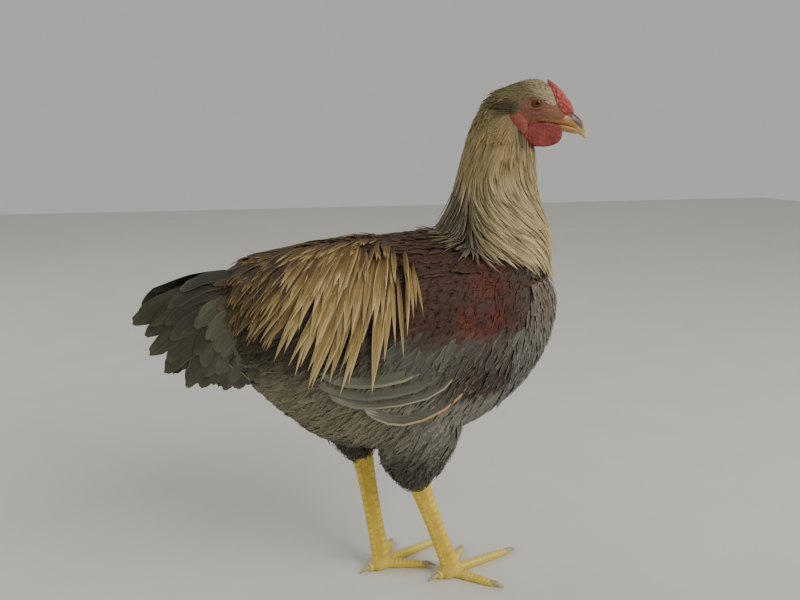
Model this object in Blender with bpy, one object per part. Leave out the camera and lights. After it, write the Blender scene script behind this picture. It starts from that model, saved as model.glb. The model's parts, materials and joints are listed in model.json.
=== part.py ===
"""A life-size wyandotte rooster, standing still with its head turned a little to its right.

Metres. +X is the way the bird faces, +Y is its left, +Z is up, and the floor is Z = 0.
The origin is on the floor, under the middle of the bird's overall length and width.
"""

import math

import bmesh
import bpy
import numpy as np
from mathutils import Matrix, Vector
from mathutils.bvhtree import BVHTree

# The clear gap that touching pieces keep.
GAP = 0.0004
# The thickness of a vane and how deep its root is sunk.
VANE_THICK = 0.0008
ROOT_DEPTH = 0.0022

# Torso, from tail base to breast: x, top, bottom, half width.
TORSO = [
    (-0.1175, 0.314, 0.246, 0.022),
    (-0.1055, 0.321, 0.222, 0.038),
    (-0.0805, 0.328, 0.194, 0.053),
    (-0.0455, 0.335, 0.164, 0.066),
    (-0.0105, 0.339, 0.150, 0.073),
    (0.0245, 0.342, 0.148, 0.077),
    (0.0595, 0.345, 0.153, 0.077),
    (0.0945, 0.344, 0.163, 0.072),
    (0.1225, 0.339, 0.178, 0.064),
    (0.1465, 0.329, 0.198, 0.053),
    (0.1645, 0.316, 0.219, 0.041),
    (0.1775, 0.300, 0.243, 0.026),
    (0.1835, 0.285, 0.263, 0.011),
]
TORSO_POWER = 2.25
# How far up its height the torso is widest.
TORSO_WAIST = 0.56

# Neck, from inside the shoulders to the nape: x, y, z, tilt, rear, front and side radius.
NECK = [
    (0.1165, 0.000, 0.300, 90, 0.060, 0.056, 0.056),
    (0.1195, 0.000, 0.328, 90, 0.056, 0.055, 0.053),
    (0.1215, 0.000, 0.348, 90, 0.048, 0.049, 0.044),
    (0.1225, 0.000, 0.368, 90, 0.0415, 0.0425, 0.0375),
    (0.1230, 0.000, 0.388, 91, 0.0375, 0.0375, 0.0330),
    (0.1230, 0.000, 0.408, 91, 0.0345, 0.0330, 0.0290),
    (0.1235, 0.000, 0.426, 86, 0.0300, 0.0275, 0.0250),
    (0.1260, -0.001, 0.442, 74, 0.0250, 0.0220, 0.0210),
    (0.1310, -0.002, 0.455, 58, 0.0185, 0.0165, 0.0160),
]

# The head turns on the neck about this point, towards the bird's right.
HEAD_PIVOT = Vector((0.1295, 0.0, 0.0))
HEAD_YAW = math.radians(-16)
# Head, in its own frame from the pivot, nape to brow: x, y, z, tilt, up, down, side.
HEAD = [
    (-0.0190, 0, 0.4460, 0, 0.0100, 0.0130, 0.0100),
    (-0.0110, 0, 0.4475, 0, 0.0165, 0.0195, 0.0150),
    (-0.0010, 0, 0.4490, 0, 0.0205, 0.0220, 0.0175),
    (0.0090, 0, 0.4510, 0, 0.0225, 0.0225, 0.0182),
    (0.0190, 0, 0.4530, 0, 0.0232, 0.0210, 0.0176),
    (0.0290, 0, 0.4520, 0, 0.0222, 0.0175, 0.0158),
    (0.0390, 0, 0.4495, 0, 0.0190, 0.0140, 0.0128),
    (0.0470, 0, 0.4465, 0, 0.0150, 0.0115, 0.0100),
    (0.0530, 0, 0.4440, 0, 0.0095, 0.0085, 0.0072),
]
EYE_PLACE = Vector((0.0243, 0.0110, 0.4550))
EYE_RADIUS = 0.0077

MATERIALS = {
    "body_feather": ((0.10, 0.095, 0.10), 0.6),
    "wing_feather": ((0.16, 0.05, 0.04), 0.55),
    "saddle_feather": ((0.50, 0.33, 0.13), 0.55),
    "hackle_feather": ((0.55, 0.43, 0.25), 0.6),
    "tail_feather": ((0.09, 0.09, 0.085), 0.5),
    "face_skin": ((0.42, 0.13, 0.09), 0.5),
    "comb_skin": ((0.62, 0.06, 0.06), 0.45),
    "eye": ((0.35, 0.14, 0.03), 0.1),
    "beak_horn": ((0.62, 0.42, 0.17), 0.35),
    "leg_skin": ((0.72, 0.50, 0.07), 0.5),
    "claw_horn": ((0.55, 0.48, 0.35), 0.35),
}


def clear_scene():
    for thing in list(bpy.data.objects):
        bpy.data.objects.remove(thing, do_unlink=True)


def finish(name):
    """The material of that name, made once."""
    found = bpy.data.materials.get(name)
    if found:
        return found
    colour, roughness = MATERIALS[name]
    made = bpy.data.materials.new(name)
    made.use_nodes = True
    shader = made.node_tree.nodes["Principled BSDF"]
    shader.inputs["Base Color"].default_value = (*colour, 1.0)
    shader.inputs["Roughness"].default_value = roughness
    shader.inputs["Metallic"].default_value = 0.0
    return made


def smooth_row(table, place):
    """The values of a table of rows at a fractional row, on a smooth curve through the rows."""
    rows = np.asarray(table, float)
    last = len(rows) - 1
    i = min(max(int(math.floor(place)), 0), last - 1)
    t = min(max(place - i, 0.0), 1.0)
    a, b = rows[i], rows[i + 1]
    slope_a = (b - rows[i - 1]) / 2 if i > 0 else b - a
    slope_b = (rows[i + 2] - a) / 2 if i + 2 <= last else b - a
    return (
        a * (2 * t**3 - 3 * t**2 + 1)
        + slope_a * (t**3 - 2 * t**2 + t)
        + b * (3 * t**2 - 2 * t**3)
        + slope_b * (t**3 - t**2)
    )


def object_of(bm, name):
    """A closed mesh object from a bmesh, its faces pointing out."""
    bmesh.ops.remove_doubles(bm, verts=bm.verts, dist=1e-6)
    open_edges = [e for e in bm.edges if e.is_boundary]
    if open_edges:
        bmesh.ops.holes_fill(bm, edges=open_edges, sides=0)
    bmesh.ops.triangulate(bm, faces=bm.faces)
    bmesh.ops.recalc_face_normals(bm, faces=bm.faces)
    mesh = bpy.data.meshes.new(name)
    bm.to_mesh(mesh)
    bm.free()
    made = bpy.data.objects.new(name, mesh)
    bpy.context.scene.collection.objects.link(made)
    return made


def skin_of(name, shape, around, along):
    """A closed tube whose surface is shape(u, v), u once round and v from end to end."""
    bm = bmesh.new()
    bmesh.ops.create_grid(bm, x_segments=around, y_segments=along, size=1.0)
    for v in bm.verts:
        v.co = shape((v.co.x + 1) / 2, (v.co.y + 1) / 2)
    return object_of(bm, name)


def section(up, down, side, power, u):
    """A point of an egg-shaped section at the share u of a turn, as side and up."""
    angle = 2 * math.pi * u
    c, s = math.cos(angle), math.sin(angle)
    across = side * math.copysign(abs(c) ** (2 / power), c)
    height = (up if s > 0 else down) * math.copysign(abs(s) ** (2 / power), s)
    return across, height


def form_point(rows, power, u, v, grow=0.0):
    """A point on a form lofted through rows of x, y, z, tilt, up, down and side."""
    place = v * (len(rows) - 1)
    x, y, z, tilt, up, down, side = smooth_row(rows, place)
    lean = math.radians(tilt)
    along = Vector((math.cos(lean), 0, math.sin(lean)))
    upward = Vector((-math.sin(lean), 0, math.cos(lean)))
    end = -1.0 if v < 1e-6 else 1.0 if v > 1 - 1e-6 else 0.0
    across, height = section(up + grow, down + grow, side + grow, power, u)
    return Vector((x, y + across, z)) + upward * height + along * grow * end


def form(name, rows, around, along, power=2.0, grow=0.0, place=None, floor=None):
    """The solid of a lofted form, placed by a matrix, and flat where it meets the floor."""
    move = place or Matrix.Identity(4)

    def shape(u, v):
        p = move @ form_point(rows, power, u, v, grow)
        if floor is not None:
            p.z = max(p.z, floor)
        return p

    return skin_of(name, shape, around, along)


def torso_rows():
    rows = []
    for x, top, bottom, side in TORSO:
        z = bottom + TORSO_WAIST * (top - bottom)
        rows.append((x, 0.0, z, 0.0, top - z, z - bottom, side))
    return rows


# The torso's places along its rows and their x, to look a row up by its x.
TORSO_PLACES = np.linspace(0, len(TORSO) - 1, 97)
TORSO_XS = [smooth_row(TORSO, place)[0] for place in TORSO_PLACES]


def flank(x, z):
    """How far the torso's side is from its middle at x and z."""
    place = float(np.interp(x, TORSO_XS, TORSO_PLACES))
    _, _, middle, _, up, down, side = smooth_row(torso_rows(), place)
    rise = abs(z - middle) / (up if z > middle else down)
    return side * max(1 - rise**TORSO_POWER, 0.0) ** (1 / TORSO_POWER)


def apply_boolean(target, operation, other=None, collection=None, solver="MANIFOLD"):
    cut = target.modifiers.new("join", "BOOLEAN")
    cut.operation = operation
    cut.solver = solver
    if collection:
        cut.operand_type = "COLLECTION"
        cut.collection = collection
    else:
        cut.object = other
    graph = bpy.context.evaluated_depsgraph_get()
    mesh = bpy.data.meshes.new_from_object(target.evaluated_get(graph))
    target.modifiers.clear()
    target.data = mesh
    return target


def drop(*things):
    for thing in things:
        bpy.data.objects.remove(thing, do_unlink=True)


def keep_largest(target):
    """Leaves only the largest closed surface, which fills sealed hollows and drops scraps."""
    bm = bmesh.new()
    bm.from_mesh(target.data)
    left = set(bm.verts)
    groups = []
    while left:
        group, edge = set(), [left.pop()]
        while edge:
            v = edge.pop()
            group.add(v)
            for e in v.link_edges:
                other = e.other_vert(v)
                if other in left:
                    left.remove(other)
                    edge.append(other)
        groups.append(group)
    groups.sort(key=len)
    for group in groups[:-1]:
        bmesh.ops.delete(bm, geom=list(group), context="VERTS")
    bm.to_mesh(target.data)
    bm.free()
    return target


def union(target, pieces):
    """One union of the target with closed pieces, which are then removed."""
    if not pieces:
        return target
    bunch = bpy.data.collections.new(target.name + "_pieces")
    bpy.context.scene.collection.children.link(bunch)
    for piece in pieces:
        bpy.context.scene.collection.objects.unlink(piece)
        bunch.objects.link(piece)
    bpy.context.view_layer.update()
    apply_boolean(target, "UNION", collection=bunch)
    drop(*pieces)
    bpy.data.collections.remove(bunch)
    return keep_largest(target)


def cut_by(target, *cutters):
    for cutter in cutters:
        bpy.context.view_layer.update()
        apply_boolean(target, "DIFFERENCE", other=cutter)
    return keep_largest(target)


def dressed(target, material, angle=50):
    """Gives a finished node its material and smooth shading with sharp corners."""
    target.data.materials.clear()
    target.data.materials.append(finish(material))
    target.data.shade_smooth()
    target.data.set_sharp_from_angle(angle=math.radians(angle))
    return target


def tree_of(*things):
    """A search tree over the faces of several meshes."""
    points, faces = [], []
    for thing in things:
        start = len(points)
        points += [v.co.copy() for v in thing.data.vertices]
        faces += [[start + i for i in p.vertices] for p in thing.data.polygons]
    return BVHTree.FromPolygons(points, faces)


def blade(name, rows):
    """A thin closed vane through rows of left and right edge points, root first, tip last."""
    bm = bmesh.new()
    steps = len(rows) - 1
    bmesh.ops.create_grid(bm, x_segments=1, y_segments=steps, size=1.0)
    for v in bm.verts:
        left, right = rows[round((v.co.y + 1) / 2 * steps)]
        v.co = left if v.co.x < 0 else right
    bmesh.ops.triangulate(bm, faces=bm.faces, quad_method="FIXED")
    bmesh.ops.solidify(bm, geom=bm.faces[:], thickness=-VANE_THICK)
    return object_of(bm, name)


def vane_width(t, tip):
    """The share of its full width that a vane has at the share t of its length."""
    root = min(1.0, 0.6 + 1.6 * t)
    return root * (1.0 if t < tip else max(0.1, 1 - ((t - tip) / (1 - tip)) ** 1.7))


def walk(guide, root, heading, length, stops, sag=0.0, bend=0.0):
    """Points and outward normals along a path over a guide, which runs straight on past an edge.
    Stops are the twelfths of its length at which a vane has its cross lines."""
    fine = 12
    place, normal, _, _ = guide.find_nearest(root)
    direction = (heading - normal * heading.dot(normal)).normalized()
    points, normals = [place], [normal]
    step = length / fine
    for _ in range(fine):
        direction = direction + Vector((0, 0, -sag)) / fine
        direction = direction + normals[-1].cross(direction) * bend / fine
        direction = (direction - normals[-1] * direction.dot(normals[-1])).normalized()
        ahead = points[-1] + direction * step
        place, normal, _, _ = guide.find_nearest(ahead)
        if (place - ahead).length > 0.6 * step:
            place, normal = ahead, normals[-1]
        direction = (place - points[-1]).normalized()
        points.append(place)
        normals.append((normals[-1] * 0.55 + normal * 0.45).normalized())
    return [points[i] for i in stops], [normals[i] for i in stops]


def lay_vane(path, width, rise, over, tip=0.7, roll=0.0, depth=ROOT_DEPTH):
    """A vane along a path of points and outward normals, from its sunk root, rising to its tip.
    It clears each tree in over, which is a list of trees and the gap to keep from each. A roll
    lifts one edge and lowers the other, so that vanes side by side overlap like slates."""
    stops, facing = path
    steps = len(stops) - 1
    sides = []
    for i in range(steps + 1):
        ahead = stops[min(i + 1, steps)] - stops[max(i - 1, 0)]
        across = facing[i].cross(ahead).normalized() + facing[i] * roll
        sides.append(across * width / 2 * vane_width(i / steps, tip))
    lifts = [-depth] + [rise * i / steps for i in range(1, steps + 1)]
    reach = 0.03
    for _ in range(6):
        for i in range(steps):
            for share in (0.0, 0.2, 0.4, 0.6, 0.8, 1.0):
                if i == 0 and share < 0.5:
                    continue
                n = facing[i].lerp(facing[i + 1], share).normalized()
                lift = lifts[i] * (1 - share) + lifts[i + 1] * share
                centre = stops[i].lerp(stops[i + 1], share) + n * lift
                side = sides[i].lerp(sides[i + 1], share)
                need = 0.0
                for across in (-1.0, -0.5, 0.0, 0.5, 1.0):
                    start = centre + side * across + n * reach
                    for tree, clear in over:
                        far = tree.ray_cast(start, -n, reach + 0.01)[3]
                        if far is not None:
                            need = max(need, reach - far + clear)
                if need > 0:
                    if i == 0:
                        lifts[1] += need / share
                    else:
                        even = (1 - share) ** 2 + share**2
                        lifts[i] += need * (1 - share) / even
                        lifts[i + 1] += need * share / even
    rows = []
    for i in range(steps + 1):
        centre = stops[i] + facing[i] * lifts[i]
        rows.append((centre + sides[i], centre - sides[i]))
    return blade("vane", rows)


def bundle(pieces, extra=()):
    """The clearance list for vanes that go over pieces of their own node and over others."""
    found = [(tree, gap) for tree, gap in extra]
    if pieces:
        found.append((tree_of(*pieces), 0.0003))
    return found


# Wing, from its rear end to its front edge: x, lower edge, upper edge, thickness.
WING = [
    (-0.0875, 0.250, 0.276, 0.0010),
    (-0.0655, 0.238, 0.290, 0.0025),
    (-0.0355, 0.226, 0.303, 0.0045),
    (0.0045, 0.222, 0.312, 0.0060),
    (0.0445, 0.226, 0.318, 0.0075),
    (0.0725, 0.236, 0.320, 0.0080),
    (0.0925, 0.256, 0.316, 0.0065),
    (0.1025, 0.274, 0.304, 0.0030),
]


WING_PLACES = np.linspace(0, len(WING) - 1, 57)
WING_XS = [smooth_row(WING, place)[0] for place in WING_PLACES]


def wing_lift(x, z):
    """How far the folded wing stands out from the flank at x and z, most along its lower part."""
    place = float(np.interp(x, WING_XS, WING_PLACES))
    _, low, high, thick = smooth_row(WING, place)
    s = (z - low) / (high - low)
    if not WING_XS[0] <= x <= WING_XS[-1] or not -1e-6 <= s <= 1 + 1e-6:
        return 0.0
    s = min(max(s, 0.0), 1.0)
    return 0.0016 + thick * (1 - (1 - s) ** 5) ** 0.5 * (1 - s**1.8)


def wing_core(side, around=16, along=10):
    """The folded wing as a low dome on the flank, its inner face sunk in it for the cut."""

    def shape(u, v):
        x, low, high, _ = smooth_row(WING, v * (len(WING) - 1))
        outer = u <= 0.5
        s = 2 * u if outer else 2 - 2 * u
        s = (1 - math.cos(math.pi * s)) / 2
        z = low + (high - low) * s
        return Vector((x, side * (flank(x, z) + (wing_lift(x, z) if outer else -0.004)), z))

    return skin_of("wing_left" if side > 0 else "wing_right", shape, around, along)


def mantle():
    """The body's outline over the folded wings, which the long feathers of the back follow."""

    def shape(u, v):
        p = form_point(torso_rows(), TORSO_POWER, u, v)
        if abs(p.y) > 0.01:
            p.y += math.copysign(wing_lift(p.x, p.z), p.y)
        return p

    return skin_of("mantle", shape, 56, 44)


def wing_vanes(side, core, torso):
    """Coverts, long flight feathers that cover the rear, and the primaries along the edge."""
    guide = tree_of(core, torso)
    base = [(tree_of(torso), 0.0016)]
    pieces = []

    def row(count, x, low, high, length, width, down, rise, sag=0.0, bend=0.0, tip=0.7):
        over = bundle(pieces, base)
        for i in range(count):
            s = (i + 0.5) / count
            root = Vector((x[0] + (x[1] - x[0]) * s, side * 0.09, low + (high - low) * s))
            heading = Vector((-1, 0, -down))
            size = length[0] + (length[1] - length[0]) * s
            path = walk(guide, root, heading, size, (0, 4, 8, 12), sag, side * bend)
            pieces.append(lay_vane(path, width, rise, over, tip, -0.10 * side))

    # The primaries, folded along the lower edge and curving up to their tips.
    row(3, (0.0625, 0.0745), 0.226, 0.248, (0.100, 0.092), 0.0110, 0.42, 0.001, bend=-0.50)
    # The secondaries, whose broad round tips end short of the tail.
    row(4, (0.0065, -0.0095), 0.230, 0.282, (0.070, 0.088), 0.0158, 0.16, 0.001, tip=0.8)
    # Two rows of coverts up to the shoulder.
    row(3, (0.0425, 0.0345), 0.238, 0.298, (0.056, 0.056), 0.0220, 0.18, 0.001, tip=0.6)
    row(3, (0.0785, 0.0725), 0.252, 0.306, (0.050, 0.050), 0.0200, 0.22, 0.001, tip=0.6)
    return pieces


# Tail core, from inside the rump to its rear end: x, lower edge, upper edge, half width.
TAIL = [
    (-0.0995, 0.232, 0.314, 0.0300),
    (-0.1175, 0.228, 0.316, 0.0275),
    (-0.1375, 0.230, 0.312, 0.0210),
    (-0.1555, 0.238, 0.304, 0.0130),
    (-0.1675, 0.250, 0.292, 0.0060),
]


def tail_point(u, v, grow=0.0):
    x, low, high, half = smooth_row(TAIL, v * (len(TAIL) - 1))
    middle, tall = (low + high) / 2, (high - low) / 2
    across, height = section(tall + grow, tall + grow, half + grow, 2.6, u)
    return Vector((x - grow if v > 0.999 else x, across, middle + height))


def tail_side(x, z):
    """How far from the middle the tail's feathers lie at x and z, also past the core."""
    back = min(max((-0.0935 - x) / 0.125, 0.0), 1.0)
    half = 0.0060 + 0.0245 * (1 - back) ** 1.2
    return half * (1 - 0.40 * min(abs(z - 0.272) / 0.050, 1.15) ** 2)


def tail_path(side, root, angle, length, sag, steps=3):
    """A path down the side of the tail, which turns downwards by sag radians on its way."""
    x, z = root
    points = []
    for i in range(3 * steps + 1):
        if i % 3 == 0:
            points.append(Vector((x, side * tail_side(x, z), z)))
        lean = angle - sag * i / (3 * steps)
        x -= math.cos(lean) * length / (3 * steps)
        z += math.sin(lean) * length / (3 * steps)
    return points, [Vector((0, side, 0))] * (steps + 1)


def tail_vanes(side, torso):
    """The fan of broad tail feathers, the curved sickles over them, and the drooping coverts."""
    base = [(tree_of(torso), 0.0016)]
    pieces = []

    def fan(count, x, low, high, angles, lengths, width, rise, sag, tip):
        """Roots from low to high, with angles and lengths for the lowest, middle and highest."""
        over = bundle(pieces, base)
        for i in range(count):
            s = 2 * i / (count - 1)
            size = smooth_row([[v] for v in lengths], s)[0]
            angle = math.radians(smooth_row([[v] for v in angles], s)[0])
            path = tail_path(side, (x, low + (high - low) * s / 2), angle, size, sag)
            pieces.append(lay_vane(path, width, rise, over, tip, 0.10 * side, 0.003))

    # The main feathers, then the black sickles that curve over them, then the grey coverts.
    fan(5, -0.1435, 0.250, 0.300, (-52, -16, 12), (0.040, 0.058, 0.052), 0.0200, 0.001, 0.10, 0.8)
    fan(4, -0.1355, 0.246, 0.304, (-66, -34, 6), (0.040, 0.052, 0.062), 0.0195, 0.002, 0.45, 0.75)
    fan(3, -0.1265, 0.246, 0.302, (-70, -38, -6), (0.038, 0.040, 0.044), 0.0230, 0.002, 0.40, 0.6)
    return pieces


def saddle_vanes(guide, over):
    """Three tiers a side of narrow feathers that hang from the back over the wings."""
    pieces = []
    tiers = (
        (0.0480, -0.060, 0.024, 7, 0.104, 0.0135),
        (0.0360, -0.066, 0.032, 7, 0.106, 0.0145),
        (0.0200, -0.070, 0.036, 6, 0.108, 0.0165),
    )
    for out, rear, front, count, length, width in tiers:
        laid = bundle(pieces, over)
        fresh = []
        for side in (-1, 1):
            for i in range(count):
                s = i / (count - 1)
                x = rear + (front - rear) * s
                sweep = math.radians(62 - 54 * s**0.8)
                heading = Vector((-math.sin(sweep), side * math.cos(sweep), -0.1))
                size = length * (1.0 - 0.36 * s**3) * (0.62 + 0.38 * min(1.0, s / 0.35))
                root = Vector((x, side * out * (0.72 + 0.28 * min(1, 1.6 * s)), 0.35))
                root.z = guide.ray_cast(root, Vector((0, 0, -1)))[0].z
                path = walk(guide, root, heading, size, (0, 2, 5, 8, 12), 0.35 * s)
                fresh.append(lay_vane(path, width, 0.001, laid, 0.55))
        pieces += fresh
    return pieces


def neck_vanes(guide, over):
    """Four rings of pointed feathers that make the cape from the nape to the shoulders."""
    pieces = []
    rings = (
        (0.344, 12, 0.044, 0.0215),
        (0.366, 11, 0.054, 0.0200),
        (0.391, 10, 0.058, 0.0180),
        (0.419, 9, 0.058, 0.0155),
    )
    for k, (z, count, length, width) in enumerate(rings):
        laid = bundle(pieces, over)
        fresh = []
        for i in range(count):
            angle = 2 * math.pi * (i + 0.5 * (k % 2)) / count
            out = Vector((math.cos(angle), math.sin(angle), 0))
            middle = Vector((0.1230, 0, z))
            root = guide.ray_cast(middle + out * 0.09, -out)[0]
            size = length * (0.86 + 0.14 * math.cos(angle))
            if out.x < -0.1:
                size = min(size, root.z - 0.346)
            if size < 0.02:
                continue
            stops = (0, 3, 6, 9, 12) if k < 2 else (0, 4, 8, 12)
            path = walk(guide, root, Vector((0, 0, -1)), size, stops)
            fresh.append(lay_vane(path, width, 0.0015, laid, 0.6))
        pieces += fresh
    return pieces


# Comb, in the head's frame, from over the beak to its rear point: x, y, z, tilt, up, down, side.
COMB = [
    (0.0600, 0, 0.4510, 118, 0.0015, 0.0015, 0.0030),
    (0.0590, 0, 0.4530, 118, 0.0060, 0.0035, 0.0062),
    (0.0565, 0, 0.4575, 122, 0.0070, 0.0045, 0.0076),
    (0.0525, 0, 0.4635, 128, 0.0070, 0.0050, 0.0074),
    (0.0475, 0, 0.4690, 136, 0.0070, 0.0050, 0.0064),
    (0.0420, 0, 0.4735, 150, 0.0060, 0.0040, 0.0050),
    (0.0360, 0, 0.4760, 166, 0.0040, 0.0030, 0.0032),
    (0.0310, 0, 0.4768, 176, 0.0012, 0.0012, 0.0012),
]
UPPER_BEAK = [
    (0.0420, 0, 0.4445, -4, 0.0060, 0.0062, 0.0080),
    (0.0500, 0, 0.4440, -6, 0.0068, 0.0064, 0.0079),
    (0.0570, 0, 0.4425, -14, 0.0070, 0.0066, 0.0068),
    (0.0630, 0, 0.4402, -26, 0.0066, 0.0066, 0.0052),
    (0.0680, 0, 0.4365, -42, 0.0050, 0.0056, 0.0034),
    (0.0710, 0, 0.4315, -60, 0.0026, 0.0034, 0.0018),
    (0.0722, 0, 0.4270, -72, 0.0007, 0.0010, 0.0007),
]
LOWER_BEAK = [
    (0.0420, 0, 0.4376, -10, 0.0016, 0.0050, 0.0070),
    (0.0500, 0, 0.4366, -10, 0.0016, 0.0046, 0.0068),
    (0.0570, 0, 0.4350, -14, 0.0016, 0.0040, 0.0057),
    (0.0630, 0, 0.4330, -16, 0.0016, 0.0030, 0.0038),
    (0.0668, 0, 0.4314, -16, 0.0010, 0.0014, 0.0016),
]


def head_place():
    """Carries a shape from the head's own frame to the turned head."""
    return Matrix.Translation(HEAD_PIVOT) @ Matrix.Rotation(HEAD_YAW, 4, "Z")


def ball(name, centre, radii, around=16, rings=10, grow=0.0, place=None):
    bm = bmesh.new()
    bmesh.ops.create_uvsphere(bm, u_segments=around, v_segments=rings, radius=1.0)
    move = place or Matrix.Identity(4)
    for v in bm.verts:
        v.co = move @ (Vector(centre) + Vector([c * (r + grow) for c, r in zip(v.co, radii)]))
    return object_of(bm, name)


def ring(name, centre, across, thick, outward, around=16, sides=6, place=None):
    """A rounded ring about an outward axis."""
    move = place or Matrix.Identity(4)
    turn = Vector((0, 0, 1)).rotation_difference(Vector(outward)).to_matrix()

    def shape(u, v):
        a, b = 2 * math.pi * u, 2 * math.pi * v
        reach = across + thick * math.cos(b)
        local = Vector((reach * math.cos(a), reach * math.sin(a), thick * math.sin(b)))
        return move @ (Vector(centre) + turn @ local)

    return skin_of(name, shape, around, sides)


def comb_point(u, v, grow=0.0):
    """The rose comb: a low rounded mass covered in small beads, with a point at its rear."""
    p = form_point(COMB, 2.3, u, v, grow)
    middle = Vector(smooth_row(COMB, v * (len(COMB) - 1))[:3].tolist())
    beads = math.sin(2 * math.pi * u * 5) * math.sin(math.pi * v * 9)
    return middle + (p - middle) * (1 + 0.09 * beads)


def wattle_point(side, u, v, grow=0.0):
    """A hanging round fold under the beak, thicker at its rim."""
    angle = 2 * math.pi * u
    reach = math.sin(math.pi * v)
    rim = 0.0012 + 0.0008 * math.sin(math.pi * v) ** 2
    x = 0.0357 - 0.0150 * math.cos(math.pi * v)
    z = 0.4292 + (0.0105 * reach + grow) * math.sin(angle)
    y = 0.0088 + 0.10 * (0.437 - z) + 0.0006 * math.sin(5 * math.pi * v)
    return Vector((x, side * (y + (rim + grow) * math.cos(angle)), z))


def bare_head(name, grow=0.0):
    """The skull with its two ear lobes."""
    place = head_place()
    lobes = [ball("lobe", (0.0100, side * 0.0158, 0.4385), (0.0085, 0.0030, 0.0095), 8, 5, grow,
                  place) for side in (-1, 1)]
    return union(form(name, HEAD, 24, 16, 2.15, grow, place), lobes)


def head_parts():
    place = head_place()
    made = {}
    head = bare_head("head")
    pieces = []
    for side in (-1, 1):
        eye = EYE_PLACE * 1
        eye.y *= side
        pieces.append(ring("lid", eye + Vector((0, side * 0.0056, 0)), 0.0064, 0.0013,
                           (0.10, side, 0.06), 10, 4, place))
    head = union(head, pieces)
    eye_cutters = []
    for side, name in ((-1, "eye_right"), (1, "eye_left")):
        eye = EYE_PLACE * 1
        eye.y *= side
        made[name] = ball(name, eye, (EYE_RADIUS,) * 3, 12, 8, place=place)
        eye_cutters.append(ball("cutter", eye, (EYE_RADIUS,) * 3, 12, 8, GAP, place))
    # The gape, which runs back from between the two halves of the beak.
    bm = bmesh.new()
    bmesh.ops.create_cube(bm, size=1.0)
    for v in bm.verts:
        front = v.co.x > 0
        v.co = place @ Vector((0.060 if front else 0.0290, v.co.y * 0.05,
                               (0.4368 if front else 0.4392) + v.co.z * 0.0009))
    gape = object_of(bm, "gape")
    cut_by(head, gape, *eye_cutters)
    drop(gape, *eye_cutters)
    made["head"] = head

    grown = bare_head("head_grown", GAP)
    upper = form("beak_upper", UPPER_BEAK, 12, 7, 2.0, place=place)
    lower = form("beak_lower", LOWER_BEAK, 8, 5, 2.0, place=place)
    upper_grown = form("upper_grown", UPPER_BEAK, 12, 7, 2.0, GAP, place)
    nostrils = [ball("nostril", (0.0555, side * 0.0078, 0.4452), (0.0019, 0.0018, 0.0010), 8, 4,
                     place=place) for side in (-1, 1)]
    made["beak_upper"] = cut_by(upper, grown, *nostrils)
    made["beak_lower"] = cut_by(lower, grown, upper_grown)
    drop(*nostrils)

    def comb_shape(u, v):
        return place @ comb_point(u, v)

    made["comb"] = cut_by(skin_of("comb", comb_shape, 14, 12), grown, upper_grown)
    for side, name in ((-1, "wattle_right"), (1, "wattle_left")):

        def wattle_shape(u, v, side=side):
            return place @ wattle_point(side, u, v)

        lower_grown = form("lower_grown", LOWER_BEAK, 8, 5, 2.0, GAP, place)
        solid_head = tree_of(head)
        wattle = skin_of(name, wattle_shape, 8, 10)
        made[name] = cut_by(wattle, grown, lower_grown, upper_grown)
        drop(lower_grown)
    drop(grown, upper_grown)
    return made


# Leg: hock, where the bare shank leaves the feathers, and ankle, over the foot.
LEGS = {
    "right": {
        "hock": Vector((0.0445, -0.0185, 0.1120)),
        "ankle": Vector((0.0800, -0.0149, 0.0130)),
        "thigh": (0.0, 0.0, 0.0),
        "toes": {"middle": (16, 0.0840), "outer": (-38, 0.0560), "inner": (56, 0.0520),
                 "hind": (196, 0.0250)},
        "side": -1,
    },
    "left": {
        "hock": Vector((-0.0015, 0.0185, 0.1290)),
        "ankle": Vector((0.0160, 0.0149, 0.0130)),
        "thigh": (-0.0460, 0.0, 0.0160),
        "toes": {"middle": (22, 0.0820), "outer": (62, 0.0500), "inner": (-14, 0.0560),
                 "hind": (199, 0.0250)},
        "side": 1,
    },
}
# Thigh, from the hock up into the body: x, y out, z, rear, front and side radius.
THIGH = [
    (0.0410, 0.0200, 0.1080, 0.0105, 0.0110, 0.0105),
    (0.0400, 0.0220, 0.1180, 0.0190, 0.0190, 0.0170),
    (0.0390, 0.0250, 0.1320, 0.0275, 0.0290, 0.0235),
    (0.0400, 0.0290, 0.1480, 0.0340, 0.0360, 0.0280),
    (0.0415, 0.0325, 0.1640, 0.0385, 0.0400, 0.0305),
    (0.0435, 0.0330, 0.1800, 0.0380, 0.0390, 0.0270),
    (0.0455, 0.0310, 0.1950, 0.0320, 0.0330, 0.0200),
]


def thigh_rows(leg):
    shift = leg["thigh"]
    rows = []
    for x, y, z, rear, front, side in THIGH:
        rows.append((x + shift[0], leg["side"] * y, z + shift[2], 90, rear, front, side))
    return rows


def shank_point(leg, u, v, grow=0.0):
    """The scaly shank from inside the thigh to the ankle, its front cut into stepped plates."""
    plates = 8
    top, foot = leg["hock"], leg["ankle"]
    step = v * 2 * plates
    plate, lower_edge = divmod(min(round(step), 2 * plates - 1), 2)
    share = (plate + (0.96 if lower_edge else 0.04)) / plates
    share = 0.0 if v < 1e-6 else 1.0 if v > 1 - 1e-6 else share
    axis = (foot - top).normalized()
    front = Vector((axis.z, 0, -axis.x)) * -1
    across = axis.cross(front)
    # The joint at the top is the widest, and the middle of the shank the slimmest.
    wide = 0.0062 + 0.0026 * (1 - share) ** 3 + 0.0012 * share**4
    deep = 0.0078 + 0.0022 * (1 - share) ** 3 - 0.0002 * share
    angle = 2 * math.pi * u
    ahead = math.cos(angle)
    raised = 1 + (0.055 * max(ahead, 0.0) if lower_edge else 0.0)
    reach = (deep + grow) * ahead * raised
    side = (wide + grow) * math.sin(angle)
    end = grow if v > 1 - 1e-6 else 0.0
    return top.lerp(foot, share) + front * reach + across * side + axis * end


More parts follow.
